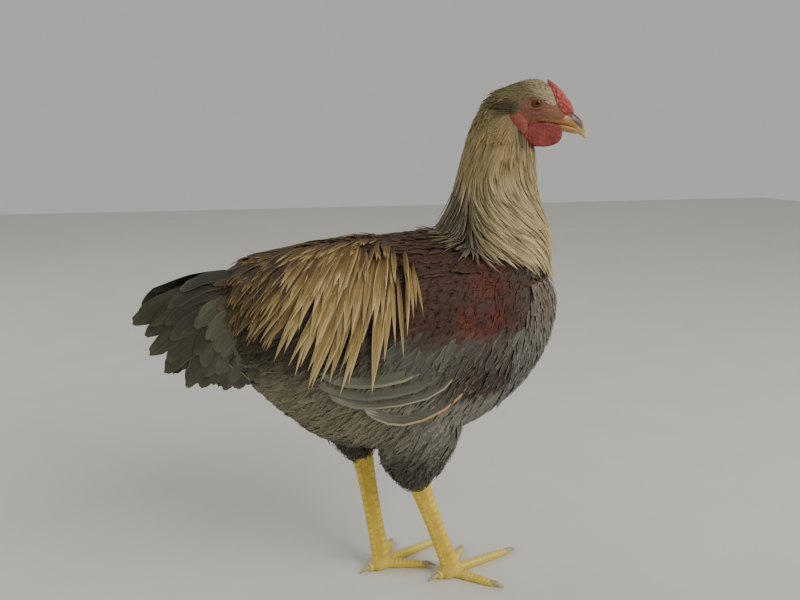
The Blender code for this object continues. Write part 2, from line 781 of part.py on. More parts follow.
def toe_rows(length):
    """A toe along +X from the ankle, with a pad under each joint and raised plates on top."""
    rows = []
    count = max(int(length / 0.0145), 2)
    for i in range(count + 1):
        for raised in (0, 1):
            if i == count and raised:
                continue
            s = (i + (0.06 if raised == 0 else 0.94)) / (count + 0.06)
            x = 0.004 + (length - 0.010 - 0.004) * s
            thick = 0.0051 - 0.0014 * s - 0.0010 * s**6
            pad = 0.0003 * math.cos(2 * math.pi * s * length / 0.024)
            top = thick + (0.0005 if raised else 0.0) + pad
            rows.append((x, 0, thick - 0.0006, 0, top, thick + pad, thick * 0.98 + pad))
    return rows


def claw_rows(length):
    start = length - 0.0125
    return [
        (start, 0, 0.0040, 6, 0.0021, 0.0020, 0.0019),
        (start + 0.0035, 0, 0.0043, -6, 0.0021, 0.0020, 0.0018),
        (start + 0.0070, 0, 0.0038, -16, 0.0016, 0.0015, 0.0013),
        (start + 0.0100, 0, 0.0028, -26, 0.0010, 0.0010, 0.0009),
        (start + 0.0125, 0, 0.0016, -34, 0.0003, 0.0003, 0.0003),
    ]


def stepped(name, rows, around, grow=0.0, place=None, floor=None):
    """A form with a straight run between its rows, so that its raised plates keep their edges."""
    move = place or Matrix.Identity(4)

    def shape(u, v):
        p = move @ form_point(rows, 2.0, u, v, grow)
        if floor is not None:
            p.z = max(p.z, floor)
        return p

    return skin_of(name, shape, around, len(rows) - 1)


def leg_parts(name, torso_grown):
    leg = LEGS[name]
    made = {}
    thigh = form("thigh_" + name, thigh_rows(leg), 16, 8, 2.1)
    thigh_grown = form("thigh_grown", thigh_rows(leg), 16, 8, 2.1, GAP)
    made["thigh_" + name] = cut_by(thigh, torso_grown)

    def shank_shape(u, v):
        return shank_point(leg, u, v)

    def shank_grown_shape(u, v):
        return shank_point(leg, u, v, GAP)

    ankle = leg["ankle"]
    pad_rows = [
        (-0.0115, 0, 0.0065, 0, 0.0028, 0.0030, 0.0035),
        (-0.0070, 0, 0.0068, 0, 0.0070, 0.0072, 0.0082),
        (0.0000, 0, 0.0070, 0, 0.0092, 0.0078, 0.0100),
        (0.0070, 0, 0.0065, 0, 0.0072, 0.0072, 0.0088),
        (0.0115, 0, 0.0055, 0, 0.0035, 0.0050, 0.0045),
    ]
    foot = Matrix.Translation((ankle.x, ankle.y, 0))
    turned = foot @ Matrix.Rotation(math.radians(leg["toes"]["middle"][0]), 4, "Z")
    shank = skin_of("shank_" + name, shank_shape, 8, 16)
    pad = form("pad", pad_rows, 12, 6, 2.2, 0.0, turned, 0.0)
    shank = union(shank, [pad])
    made["shank_" + name] = cut_by(shank, thigh_grown)
    drop(thigh_grown)

    pad_grown = form("pad_grown", pad_rows, 12, 6, 2.2, GAP, turned, -0.001)
    leg_grown = skin_of("leg_grown", shank_grown_shape, 8, 16)
    middle_turn, middle_length = leg["toes"]["middle"]
    middle_grown = stepped("middle_grown", toe_rows(middle_length), 6, GAP, turned)
    for toe, (turn, length) in leg["toes"].items():
        place = foot @ Matrix.Rotation(math.radians(turn), 4, "Z")
        piece = stepped(f"toe_{name}_{toe}", toe_rows(length), 6, 0.0, place, 0.0)
        cutters = [pad_grown, leg_grown] + ([] if toe == "middle" else [middle_grown])
        claw = form(f"claw_{name}_{toe}", claw_rows(length), 6, 3, 2.0, 0.0, place)
        claw_grown = form("claw_grown", claw_rows(length), 6, 3, 2.0, GAP, place)
        made[f"toe_{name}_{toe}"] = cut_by(piece, *cutters, claw_grown)
        made[f"claw_{name}_{toe}"] = claw
        drop(claw_grown)
    drop(pad_grown, leg_grown, middle_grown)
    return made


def main():
    clear_scene()
    rows = torso_rows()
    torso = form("torso", rows, 26, 16, TORSO_POWER)
    torso_grown = form("torso_grown", rows, 26, 16, TORSO_POWER, GAP)
    neck = form("neck", NECK, 20, 11, 2.1)

    cores = [cut_by(wing_core(side), torso_grown) for side in (-1, 1)]
    outline = mantle()
    back = tree_of(outline)
    shoulders = tree_of(neck, outline)
    drop(outline)
    wings = [union(core, wing_vanes(side, core, torso)) for side, core in zip((-1, 1), cores)]

    def tail_shape(u, v):
        return tail_point(u, v)

    tail = cut_by(skin_of("tail", tail_shape, 14, 6), torso_grown)
    tail = union(tail, tail_vanes(-1, torso) + tail_vanes(1, torso))
    torso = union(torso, saddle_vanes(back, [(tree_of(*wings, tail), 0.0010)]))

    parts = head_parts()
    head_grown = bare_head("head_grown", GAP)
    neck = union(neck, neck_vanes(shoulders, [(tree_of(torso, *wings), 0.0010)]))
    neck = cut_by(neck, torso_grown, head_grown)
    drop(head_grown)

    for name in LEGS:
        parts.update(leg_parts(name, torso_grown))
    drop(torso_grown)

    dressed(torso, "body_feather")
    dressed(neck, "hackle_feather")
    dressed(tail, "tail_feather")
    for wing in wings:
        dressed(wing, "wing_feather")
    finishes = {
        "head": "face_skin", "comb": "comb_skin", "wattle": "comb_skin", "eye": "eye",
        "beak": "beak_horn", "thigh": "body_feather", "shank": "leg_skin", "toe": "leg_skin",
        "claw": "claw_horn",
    }
    for name, part in parts.items():
        dressed(part, finishes[name.split("_")[0]])


main()
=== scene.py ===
"""The looks of a life-size wyandotte rooster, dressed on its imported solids.

Metres, in the frame of the solids: the bird faces +X, its left is +Y, and the floor is Z = 0.
"""

import json
import math

import bmesh
import bpy
import numpy as np
from mathutils import Matrix, Vector, noise
from mathutils.bvhtree import BVHTree
from mathutils.kdtree import KDTree

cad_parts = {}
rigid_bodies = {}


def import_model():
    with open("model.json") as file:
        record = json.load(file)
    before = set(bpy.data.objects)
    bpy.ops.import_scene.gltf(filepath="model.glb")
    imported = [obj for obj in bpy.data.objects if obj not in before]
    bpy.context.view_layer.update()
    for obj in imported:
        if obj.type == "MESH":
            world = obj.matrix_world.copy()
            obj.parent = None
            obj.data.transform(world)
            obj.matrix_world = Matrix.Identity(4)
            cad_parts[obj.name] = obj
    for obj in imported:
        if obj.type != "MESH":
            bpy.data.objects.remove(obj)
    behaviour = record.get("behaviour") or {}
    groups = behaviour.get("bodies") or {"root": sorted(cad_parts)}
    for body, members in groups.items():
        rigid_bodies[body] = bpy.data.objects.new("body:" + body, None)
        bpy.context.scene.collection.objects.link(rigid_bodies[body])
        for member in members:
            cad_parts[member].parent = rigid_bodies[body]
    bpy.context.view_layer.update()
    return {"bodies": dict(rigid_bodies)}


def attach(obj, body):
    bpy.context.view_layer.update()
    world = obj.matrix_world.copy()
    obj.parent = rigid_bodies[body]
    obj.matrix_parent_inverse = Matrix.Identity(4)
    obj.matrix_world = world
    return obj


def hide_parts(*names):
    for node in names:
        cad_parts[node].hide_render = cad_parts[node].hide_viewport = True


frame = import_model()
BODY = list(frame["bodies"])[0]


# The studio: a wide pale floor of smooth plaster, made as one flat grid.
# Every finish below is mixed in Python expressions on the values of its shader.
class Value:
    """A shader value that Python expressions add up, multiply and compare."""

    def __init__(self, finish, socket):
        self.finish = finish
        self.socket = socket

    def math(self, operation, *others):
        inputs = dict(enumerate((self, *others)))
        return self.finish.node("Math", {"operation": operation}, inputs)

    def __add__(self, other):
        return self.math("ADD", other)

    def __sub__(self, other):
        return self.math("SUBTRACT", other)

    def __rsub__(self, other):
        return self.finish.node("Math", {"operation": "SUBTRACT"}, {0: other, 1: self})

    def __mul__(self, other):
        return self.math("MULTIPLY", other)

    __radd__ = __add__

    def size(self):
        return self.math("ABSOLUTE")

    def most(self, other):
        return self.math("MAXIMUM", other)

    def between(self, low, high):
        """0 below low, 1 above high, and a soft step from one to the other."""
        settings = {"interpolation_type": "SMOOTHSTEP"}
        return self.finish.node("MapRange", settings, {0: self, 1: low, 2: high})


class Finish:
    """A material in the making, with the one way that its nodes are made."""

    def __init__(self, name, roughness, **constants):
        self.material = bpy.data.materials.new(name)
        self.material.use_nodes = True
        self.tree = self.material.node_tree
        self.shader = self.tree.nodes["Principled BSDF"]
        self.shader.inputs["Roughness"].default_value = roughness
        for socket, value in constants.items():
            self.shader.inputs[socket.replace("_", " ")].default_value = value

    def feed(self, socket, value):
        if isinstance(value, Value):
            self.tree.links.new(value.socket, socket)
        else:
            socket.default_value = value

    def node(self, kind, settings=None, inputs=None, output=0):
        made = self.tree.nodes.new("ShaderNode" + kind)
        for key, value in (settings or {}).items():
            setattr(made, key, value)
        for key, value in (inputs or {}).items():
            self.feed(made.inputs[key], value)
        return Value(self, made.outputs[output])

    def place(self):
        """The place on the piece, in metres."""
        return self.node("TexCoord", output="Object")

    def parts(self, vector):
        made = self.tree.nodes.new("ShaderNodeSeparateXYZ")
        self.feed(made.inputs[0], vector)
        return [Value(self, socket) for socket in made.outputs]

    def joined(self, x, y, z):
        return self.node("CombineXYZ", inputs={0: x, 1: y, 2: z})

    def grain(self, scale, detail, where=None):
        """Soft noise from 0 to 1, with scale features to a metre."""
        inputs = {"Vector": where or self.place(), "Scale": scale, "Detail": detail}
        return self.node("TexNoise", inputs=inputs)

    def cells(self, scale, feature="F1"):
        """How far a place is from the middle of its cell, or from the edges between cells."""
        inputs = {"Vector": self.place(), "Scale": scale}
        return self.node("TexVoronoi", {"feature": feature}, inputs)

    def carried(self, name, output=0):
        """What the piece carries at its points: a colour (0), a vector (1) or a number (2)."""
        return self.node("Attribute", {"attribute_name": name}, output=output)

    def blend(self, share, first, second, way="MIX"):
        settings = {"data_type": "RGBA", "blend_type": way}
        return self.node("Mix", settings, {0: share, 6: first, 7: second}, 2)

    def shade(self, colour, share):
        """A colour made darker or lighter by a value round 1."""
        return self.blend(1.0, colour, self.joined(share, share, share), "MULTIPLY")

    def raised(self, height, distance, strength):
        inputs = {"Height": height, "Distance": distance, "Strength": strength}
        self.feed(self.shader.inputs["Normal"], self.node("Bump", inputs=inputs))

    def done(self, colour):
        self.feed(self.shader.inputs["Base Color"], colour)
        return self.material


def tone(red, green, blue):
    """A colour by its screen values from 0 to 255, as the linear light that a shader takes."""
    return np.array([((c / 255 + 0.055) / 1.055) ** 2.4 for c in (red, green, blue)] + [1.0])


def thing_of(mesh, name, material=None):
    made = bpy.data.objects.new(name, mesh)
    bpy.context.scene.collection.objects.link(made)
    if material:
        mesh.materials.append(material)
    return made


plaster = Finish("floor_plaster", 0.75)
pale = plaster.blend(plaster.grain(9.0, 5.0), tone(214, 211, 204), tone(224, 221, 215))
plaster.raised(plaster.grain(160.0, 4.0), 0.0006, 0.4)
ground = bmesh.new()
bmesh.ops.create_grid(ground, x_segments=2, y_segments=2, size=4.0)
floor_mesh = bpy.data.meshes.new("floor")
ground.to_mesh(floor_mesh)
ground.free()
thing_of(floor_mesh, "floor", plaster.done(pale))

# The light: one broad soft lamp high in front of the bird's right side, a weak one from behind,
# and an even pale room. The camera stands where the photograph was taken from.
room = bpy.data.worlds.new("room")
room.use_nodes = True
air = room.node_tree.nodes["Background"].inputs
air["Color"].default_value = tone(206, 208, 204)
air["Strength"].default_value = 0.74
bpy.context.scene.world = room
LAMP_AIM = Vector((0.02, 0, 0.25))
# name, place, power, width and colour
LAMPS = (
    ("front_lamp", (1.30, -1.50, 1.70), 38.0, 1.4, (1.0, 0.97, 0.92)),
    ("rear_lamp", (-1.60, 1.00, 1.60), 10.0, 1.2, (0.90, 0.96, 1.0)),
)
for name, place, power, width, colour in LAMPS:
    lamp = bpy.data.lights.new(name, "AREA")
    lamp.energy = power
    lamp.size = width
    lamp.color = colour
    hung = bpy.data.objects.new(name, lamp)
    hung.location = place
    hung.rotation_euler = (LAMP_AIM - Vector(place)).to_track_quat("-Z", "Y").to_euler()
    bpy.context.scene.collection.objects.link(hung)

CAMERA_PLACE = Vector((-0.1143, -0.5878, 0.4220))
CAMERA_HEADING = math.atan2(0.9703, 0.2419)
CAMERA_PITCH = math.radians(-13)
lens = bpy.data.cameras.new("camera")
lens.lens = 30.6
lens.sensor_width = 36
lens.clip_start = 0.01
camera = bpy.data.objects.new("camera", lens)
camera.location = CAMERA_PLACE
camera.rotation_euler = (math.pi / 2 + CAMERA_PITCH, 0, CAMERA_HEADING - math.pi / 2)
bpy.context.scene.collection.objects.link(camera)
bpy.context.scene.camera = camera


# The skin: one closed skin over torso, neck, folded wings, rump and thighs, which the feathers
# grow from. It is lofted through the sections of the body, some way inside the feathers' outline,
# and pressed into one surface. The bare face is the finer part of it at the head.

# How deep the skin lies under the outline of the torso, the neck, the thighs and the wings.
TORSO_DEPTH, NECK_DEPTH, THIGH_DEPTH, WING_DEPTH = 0.0038, 0.0032, 0.0035, 0.0030
# x, top, bottom, half width
TORSO = [
    (-0.1175, 0.314, 0.246, 0.022),
    (-0.1055, 0.321, 0.222, 0.038),
    (-0.0805, 0.328, 0.194, 0.053),
    (-0.0455, 0.335, 0.164, 0.066),
    (-0.0105, 0.339, 0.150, 0.073),
    (0.0245, 0.342, 0.148, 0.077),
    (0.0595, 0.345, 0.153, 0.077),
    (0.0945, 0.344, 0.163, 0.072),
    (0.1225, 0.339, 0.178, 0.064),
    (0.1465, 0.329, 0.198, 0.053),
    (0.1625, 0.316, 0.219, 0.041),
    (0.1740, 0.300, 0.243, 0.026),
    (0.1795, 0.285, 0.263, 0.011),
]
TORSO_POWER = 2.25
TORSO_WAIST = 0.56
# x, y, z, tilt, rear, front and side radius
NECK = [
    (0.1165, 0.000, 0.300, 90, 0.060, 0.052, 0.056),
    (0.1195, 0.000, 0.328, 90, 0.056, 0.050, 0.053),
    (0.1215, 0.000, 0.348, 90, 0.048, 0.0455, 0.044),
    (0.1225, 0.000, 0.368, 90, 0.0415, 0.0410, 0.0375),
    (0.1230, 0.000, 0.388, 91, 0.0375, 0.0375, 0.0330),
    (0.1230, 0.000, 0.408, 91, 0.0345, 0.0360, 0.0290),
    (0.1235, 0.000, 0.426, 86, 0.0300, 0.0335, 0.0250),
    (0.1260, -0.001, 0.442, 74, 0.0250, 0.0258, 0.0210),
    (0.1310, -0.002, 0.455, 58, 0.0185, 0.0165, 0.0160),
]
# x, lower edge, upper edge, thickness
WING = [
    (-0.0875, 0.250, 0.276, 0.0010),
    (-0.0655, 0.238, 0.290, 0.0025),
    (-0.0355, 0.226, 0.303, 0.0045),
    (0.0045, 0.222, 0.312, 0.0060),
    (0.0445, 0.226, 0.318, 0.0075),
    (0.0725, 0.236, 0.320, 0.0080),
    (0.0925, 0.256, 0.316, 0.0065),
    (0.1025, 0.274, 0.304, 0.0030),
]
# x, lower edge, upper edge, half width
RUMP = [
    (-0.0995, 0.232, 0.314, 0.0300),
    (-0.1175, 0.228, 0.316, 0.0275),
    (-0.1375, 0.230, 0.312, 0.0210),
    (-0.1555, 0.238, 0.304, 0.0130),
    (-0.1675, 0.250, 0.292, 0.0060),
]
# x, y out, z, rear, front and side radius
THIGH = [
    (0.0410, 0.0200, 0.1080, 0.0105, 0.0110, 0.0105),
    (0.0400, 0.0220, 0.1180, 0.0190, 0.0190, 0.0170),
    (0.0390, 0.0250, 0.1320, 0.0275, 0.0290, 0.0235),
    (0.0400, 0.0290, 0.1480, 0.0340, 0.0360, 0.0280),
    (0.0415, 0.0325, 0.1640, 0.0385, 0.0400, 0.0305),
    (0.0435, 0.0330, 0.1800, 0.0380, 0.0390, 0.0270),
    (0.0455, 0.0310, 0.1950, 0.0320, 0.0330, 0.0200),
]
LEFT_THIGH_SHIFT = Vector((-0.0460, 0.0, 0.0160))


def smooth_row(table, place):
    """The values of a table of rows at a fractional row, on a smooth curve through the rows."""
    rows = np.asarray(table, float)
    last = len(rows) - 1
    i = min(max(int(math.floor(place)), 0), last - 1)
    t = min(max(place - i, 0.0), 1.0)
    a, b = rows[i], rows[i + 1]
    slope_a = (b - rows[i - 1]) / 2 if i > 0 else b - a
    slope_b = (rows[i + 2] - a) / 2 if i + 2 <= last else b - a
    return (
        a * (2 * t**3 - 3 * t**2 + 1)
        + slope_a * (t**3 - 2 * t**2 + t)
        + b * (3 * t**2 - 2 * t**3)
        + slope_b * (t**3 - t**2)
    )


def soft_step(value, low, high):
    t = min(max((value - low) / (high - low), 0.0), 1.0)
    return t * t * (3 - 2 * t)


def below(value, limit, depth):
    """0 above a limit, and softly up to 1 at some depth below it."""
    return soft_step(limit - value, 0.0, depth)


def bell(value, middle, width):
    """1 at the middle, and softly less to both sides of it."""
    return math.exp(-(((value - middle) / width) ** 2))


def wrapped(shape, around, along):
    """A closed tube whose surface is shape(u, v), u once round and v from end to end."""
    bm = bmesh.new()
    bmesh.ops.create_grid(bm, x_segments=around, y_segments=along, size=1.0)
    for vert in bm.verts:
        vert.co = shape((vert.co.x + 1) / 2, (vert.co.y + 1) / 2)
    bmesh.ops.remove_doubles(bm, verts=bm.verts, dist=1e-6)
    rims = [edge for edge in bm.edges if edge.is_boundary]
    if rims:
        bmesh.ops.holes_fill(bm, edges=rims, sides=0)
    bmesh.ops.recalc_face_normals(bm, faces=bm.faces)
    return bm


def egg(up, down, side, power, u):
    """A point of an egg-shaped section at the share u of a turn, as side and up."""
    c, s = math.cos(2 * math.pi * u), math.sin(2 * math.pi * u)
    across = side * math.copysign(abs(c) ** (2 / power), c)
    height = (up if s > 0 else down) * math.copysign(abs(s) ** (2 / power), s)
    return across, height


def form_point(rows, power, u, v, grow=0.0):
    """A point on a form lofted through rows of x, y, z, tilt, up, down and side."""
    x, y, z, tilt, up, down, side = smooth_row(rows, v * (len(rows) - 1))
    lean = math.radians(tilt)
    upward = Vector((-math.sin(lean), 0, math.cos(lean)))
    across, height = egg(up + grow, down + grow, side + grow, power, u)
    return Vector((x, y + across, z)) + upward * height


def lofted(rows, around, along, power=2.0, grow=0.0, place=Matrix.Identity(4)):
    def shape(u, v):
        return place @ form_point(rows, power, u, v, grow)

    return wrapped(shape, around, along)


def pressed(shells, voxel, rounds):
    """One closed skin over overlapping closed shells, smoothed by some rounds."""
    bm = bmesh.new()
    for shell in shells:
        loose = bpy.data.meshes.new("shell")
        shell.to_mesh(loose)
        shell.free()
        bm.from_mesh(loose)
        bpy.data.meshes.remove(loose)
    mesh = bpy.data.meshes.new("pressed")
    bm.to_mesh(mesh)
    bm.free()
    clay = thing_of(mesh, "clay")
    press = clay.modifiers.new("press", "REMESH")
    press.mode = "VOXEL"
    press.voxel_size = voxel
    rub = clay.modifiers.new("rub", "SMOOTH")
    rub.factor = 0.5
    rub.iterations = rounds
    graph = bpy.context.evaluated_depsgraph_get()
    smooth = bpy.data.meshes.new_from_object(clay.evaluated_get(graph))
    bpy.data.objects.remove(clay)
    return smooth


torso_rows = []
for x, top, bottom, half in TORSO:
    middle = bottom + TORSO_WAIST * (top - bottom)
    torso_rows.append((x, 0.0, middle, 0.0, top - middle, middle - bottom, half))
torso_places = np.linspace(0, len(TORSO) - 1, 97)
torso_xs = [smooth_row(TORSO, place)[0] for place in torso_places]
wing_places = np.linspace(0, len(WING) - 1, 57)
wing_xs = [smooth_row(WING, place)[0] for place in wing_places]


def flank(x, z):
    """How far the torso's side is from its middle at x and z."""
    place = float(np.interp(x, torso_xs, torso_places))
    _, _, middle, _, up, down, side = smooth_row(torso_rows, place)
    rise = abs(z - middle) / (up if z > middle else down)
    return side * max(1 - rise**TORSO_POWER, 0.0) ** (1 / TORSO_POWER)


def wing_lift(x, z):
    """How far the folded wing stands out from the flank."""
    place = float(np.interp(x, wing_xs, wing_places))
    _, low, high, thick = smooth_row(WING, place)
    s = (z - low) / (high - low)
    if not wing_xs[0] <= x <= wing_xs[-1] or not 0 <= s <= 1:
        return 0.0
    return 0.0016 + thick * (1 - (1 - s) ** 5) ** 0.5 * (1 - s**1.8)


def folded_wing(side):
    def shape(u, v):
        x, low, high, _ = smooth_row(WING, v * (len(WING) - 1))
        outer = u <= 0.5
        s = (1 - math.cos(math.pi * (2 * u if outer else 2 - 2 * u))) / 2
        z = low + (high - low) * s
        out = wing_lift(x, z) - WING_DEPTH if outer else -0.012
        return Vector((x, side * (flank(x, z) + out), z))

    return wrapped(shape, 40, 40)


def rump_point(u, v):
    x, low, high, half = smooth_row(RUMP, v * (len(RUMP) - 1))
    tall = (high - low) / 2 - 0.003
    across, height = egg(tall, tall, half - 0.004, 2.6, u)
    return Vector((x + 0.004 * v, across, (low + high) / 2 + height))


def thigh_form(side):
    shift = LEFT_THIGH_SHIFT if side > 0 else Vector()
    rows = [(x + shift.x, side * y, z + shift.z, 90, rear, front, out)
            for x, y, z, rear, front, out in THIGH]
    return lofted(rows, 36, 26, 2.1, -THIGH_DEPTH)


body_shells = [
    lofted(torso_rows, 72, 60, TORSO_POWER, -TORSO_DEPTH),
    lofted(NECK, 48, 40, 2.1, -NECK_DEPTH),
    wrapped(rump_point, 32, 16),
    folded_wing(-1),
    folded_wing(1),
    thigh_form(-1),
    thigh_form(1),
]
body_mesh = pressed(body_shells, voxel=0.0023, rounds=8)


# The head: the bare wrinkled face of a cock, with ear lobes and thick lids round the eyes.
# It is moulded finer than the body and fused to it under the feathers of the nape.
HEAD_PIVOT = Vector((0.1295, 0.0, 0.0))
HEAD_YAW = math.radians(-16)
# x, y, z, tilt, up, down and side radius
HEAD = [
    (-0.0190, 0, 0.4460, 0, 0.0100, 0.0130, 0.0100),
    (-0.0110, 0, 0.4475, 0, 0.0165, 0.0195, 0.0150),
    (-0.0010, 0, 0.4490, 0, 0.0205, 0.0220, 0.0175),
    (0.0090, 0, 0.4510, 0, 0.0225, 0.0225, 0.0182),
    (0.0190, 0, 0.4530, 0, 0.0232, 0.0210, 0.0176),
    (0.0290, 0, 0.4520, 0, 0.0232, 0.0175, 0.0158),
    (0.0390, 0, 0.4495, 0, 0.0204, 0.0140, 0.0128),
    (0.0470, 0, 0.4465, 0, 0.0150, 0.0115, 0.0100),
    (0.0530, 0, 0.4440, 0, 0.0095, 0.0085, 0.0072),
]
EYE_PLACE = Vector((0.0243, 0.0110, 0.4550))
EYE_RADIUS = 0.0077
# The lids' opening: half its length and half its height.
LID_LONG, LID_TALL = 0.0056, 0.0041
# The two balls of an ear lobe: middle and radii.
EAR_LOBE = (((0.0062, 0.0160, 0.4425), (0.0072, 0.0031, 0.0068)),
            ((0.0112, 0.0150, 0.4362), (0.0068, 0.0030, 0.0080)))
head_place = Matrix.Translation(HEAD_PIVOT) @ Matrix.Rotation(HEAD_YAW, 4, "Z")
head_back = head_place.inverted()


def lobe_ball(side, centre, radii):
    bm = bmesh.new()
    bmesh.ops.create_uvsphere(bm, u_segments=24, v_segments=16, radius=1.0)
    middle = Vector((centre[0], side * centre[1], centre[2]))
    for vert in bm.verts:
        vert.co = head_place @ (middle + Vector([c * r for c, r in zip(vert.co, radii)]))
    return bm


def eye_centre(side):
    return Vector((EYE_PLACE.x, side * EYE_PLACE.y, EYE_PLACE.z))


def gaze(side):
    """The turn that carries +Z to the way an eye looks."""
    return Vector((0, 0, 1)).rotation_difference(Vector((0.10, side, 0.06))).to_matrix()


def lid_ring(side):
    """The rim of both lids, laid on the eye's ball and heavier above it than below it."""
    def shape(u, v):
        a, b = 2 * math.pi * u, 2 * math.pi * v
        out = Vector((math.cos(a), 0, math.sin(a)))
        thick = 0.0011 + 0.0006 * max(out.z, 0.0)
        seat = math.sqrt(EYE_RADIUS**2 - (out.x * LID_LONG) ** 2 - (out.z * LID_TALL) ** 2)
        long, tall = LID_LONG + thick * math.cos(b), LID_TALL + thick * math.cos(b)
        on_ball = Vector((out.x * long, side * (seat - 0.0002 + thick * math.sin(b)), out.z * tall))
        return head_place @ (eye_centre(side) + on_ball)

    return wrapped(shape, 48, 12)


head_shells = [lofted(HEAD, 56, 44, 2.15, 0.0, head_place)]
for side in (-1, 1):
    head_shells += [lobe_ball(side, *ball) for ball in EAR_LOBE]
    head_shells.append(lid_ring(side))
head_mesh = pressed(head_shells, voxel=0.00055, rounds=3)


def face_relief(h):
    """How far the face rises or sinks at a place in the head's frame: folds, gape and warts."""
    side = math.copysign(1, h.y)
    eye = Vector((h.x - EYE_PLACE.x, (h.z - EYE_PLACE.z) * 1.12))
    away = eye.length
    bare = 1 - soft_step(away, 0.019, 0.026)
    # Uneven folds that run round the lids, deepest below and in front of the eye.
    turn = math.atan2(eye.y, eye.x)
    uneven = 0.6 + 0.5 * noise.noise(Vector((turn * 1.6, away * 260, side * 7.3)))
    low = 0.35 + 0.65 * soft_step(-eye.y, -0.004, 0.004)
    rise = -0.00042 * uneven * bell(away, 0.0080, 0.0009)
    rise += 0.00026 * uneven * bell(away, 0.0096, 0.0012) * low
    rise -= 0.00020 * uneven * bell(away, 0.0116, 0.0010) * low
    # The line of the mouth, back from the corner of the beak.
    gape = h.z - (0.4392 - (h.x - 0.0290) * 0.077)
    share = soft_step(h.x, 0.0245, 0.0310)
    rise -= 0.00110 * share * bell(gape, 0, 0.0008)
    rise += 0.00060 * share * (bell(gape, 0.0022, 0.0010) + bell(gape, -0.0022, 0.0010))
    warts = noise.noise(Vector((h.x * 620, side * 9.1, h.z * 620)))
    lumps = noise.noise(Vector((h.x * 190, side * 3.7, h.z * 190)))
    away_from_lid = soft_step(away, 0.0070, 0.0085)
    rise += away_from_lid * bare * (0.00022 * warts + 0.00030 * lumps)
    return rise


bm = bmesh.new()
bm.from_mesh(head_mesh)
bm.normal_update()
for vert in bm.verts:
    vert.co += vert.normal * face_relief(head_back @ vert.co)
bm.to_mesh(head_mesh)
bm.free()

skin = thing_of(body_mesh, "skin")
head_core = thing_of(head_mesh, "head_core")
weld = skin.modifiers.new("weld", "BOOLEAN")
weld.operation = "UNION"
weld.solver = "MANIFOLD"
weld.object = head_core
graph = bpy.context.evaluated_depsgraph_get()
skin.data = bpy.data.meshes.new_from_object(skin.evaluated_get(graph))
skin.modifiers.clear()
bpy.data.objects.remove(head_core)

FACE_RED = tone(115, 77, 55)
LOBE_RED = tone(138, 66, 53)
LID_BROWN = tone(124, 84, 58)
# The edges of the bare face as x and z: its top line, and its rear line from the throat up.
FACE_TOP = np.array([(0.0060, 0.4585), (0.0150, 0.4612), (0.0243, 0.4628), (0.0320, 0.4602),
                     (0.0421, 0.4545), (0.0510, 0.4482), (0.0600, 0.4440)])
FACE_REAR = np.array([(0.0170, 0.4270), (0.0060, 0.4375), (0.0000, 0.4455), (0.0020, 0.4482),
                      (0.0108, 0.4495), (0.0112, 0.4640)])


def face_share(h):
    """1 where a place in the head's frame is bare face, and 0 where feathers grow."""
    top = np.interp(h.x, FACE_TOP[:, 0], FACE_TOP[:, 1])
    rear = np.interp(h.z, FACE_REAR[:, 1], FACE_REAR[:, 0])
    inside = min(top - h.z, h.x - rear, h.z - 0.4262)
    lid = 0.0066 - math.hypot(h.x - EYE_PLACE.x, (h.z - EYE_PLACE.z) * 1.1)
    return soft_step(max(inside, lid), -0.0006, 0.0006)


def painted(mesh, name, values, kind="COLOR"):
    """Gives a colour or a vector to each point of a mesh."""
    layer = mesh.attributes.new(name, "FLOAT_" + kind, "POINT")
    layer.data.foreach_set(kind.lower(), np.asarray(values, np.float32).ravel())


skin_tree = BVHTree.FromPolygons([vert.co.copy() for vert in skin.data.vertices],
                                 [tuple(face.vertices) for face in skin.data.polygons])


# The markings: which kind of feather grows at each place of the skin, and its colours there.
# Skin and feathers both take their colours from here: straw hackle, red-brown shoulders, dark
# back, and a slate breast and belly whose feathers have paler rims.
STRAW, STRAW_PALE, STRAW_DARK = tone(164, 143, 98), tone(208, 190, 150), tone(88, 70, 43)
CROWN, CROWN_PALE, BROW = tone(108, 97, 65), tone(126, 114, 80), tone(164, 148, 118)
TUFT = tone(54, 46, 30)
MAROON, UMBER = tone(74, 50, 40), tone(58, 43, 36)
EMBER, FLAME = tone(98, 45, 35), tone(150, 70, 42)
BACK_DARK, BACK_RIM = tone(66, 52, 40), tone(146, 118, 82)
SLATE, SLATE_RIM = tone(106, 103, 94), tone(140, 138, 128)
PLUM, PLUM_RIM = tone(104, 90, 80), tone(150, 137, 126)
FLUFF, FLUFF_RIM = tone(128, 121, 99), tone(150, 143, 122)
THIGH_GREY, THIGH_RIM = tone(88, 84, 75), tone(102, 98, 88)
SADDLE_ROOT, SADDLE_GOLD, SADDLE_TIP = tone(108, 78, 44), tone(164, 137, 82), tone(214, 194, 144)


def mixed(first, second, share):
    share = min(max(share, 0.0), 1.0)
    return first * (1 - share) + second * share


def patchy(p, size, seed):
    """A slow change over the body, from -1 to 1."""
    return noise.noise(Vector((p.x / size + seed, p.y / size, p.z / size)))


# Where one kind of feather ends and the next begins: mostly heights, and two places along X.
HEAD_LOW, HACKLE_LOW, THIGH_TOP, BELLY_TOP = 0.430, 0.346, 0.152, 0.225
BOW_TOP, BOW_LOW, WING_LOW = 0.338, 0.265, 0.222
RUMP_X, BREAST_X = -0.128, 0.050


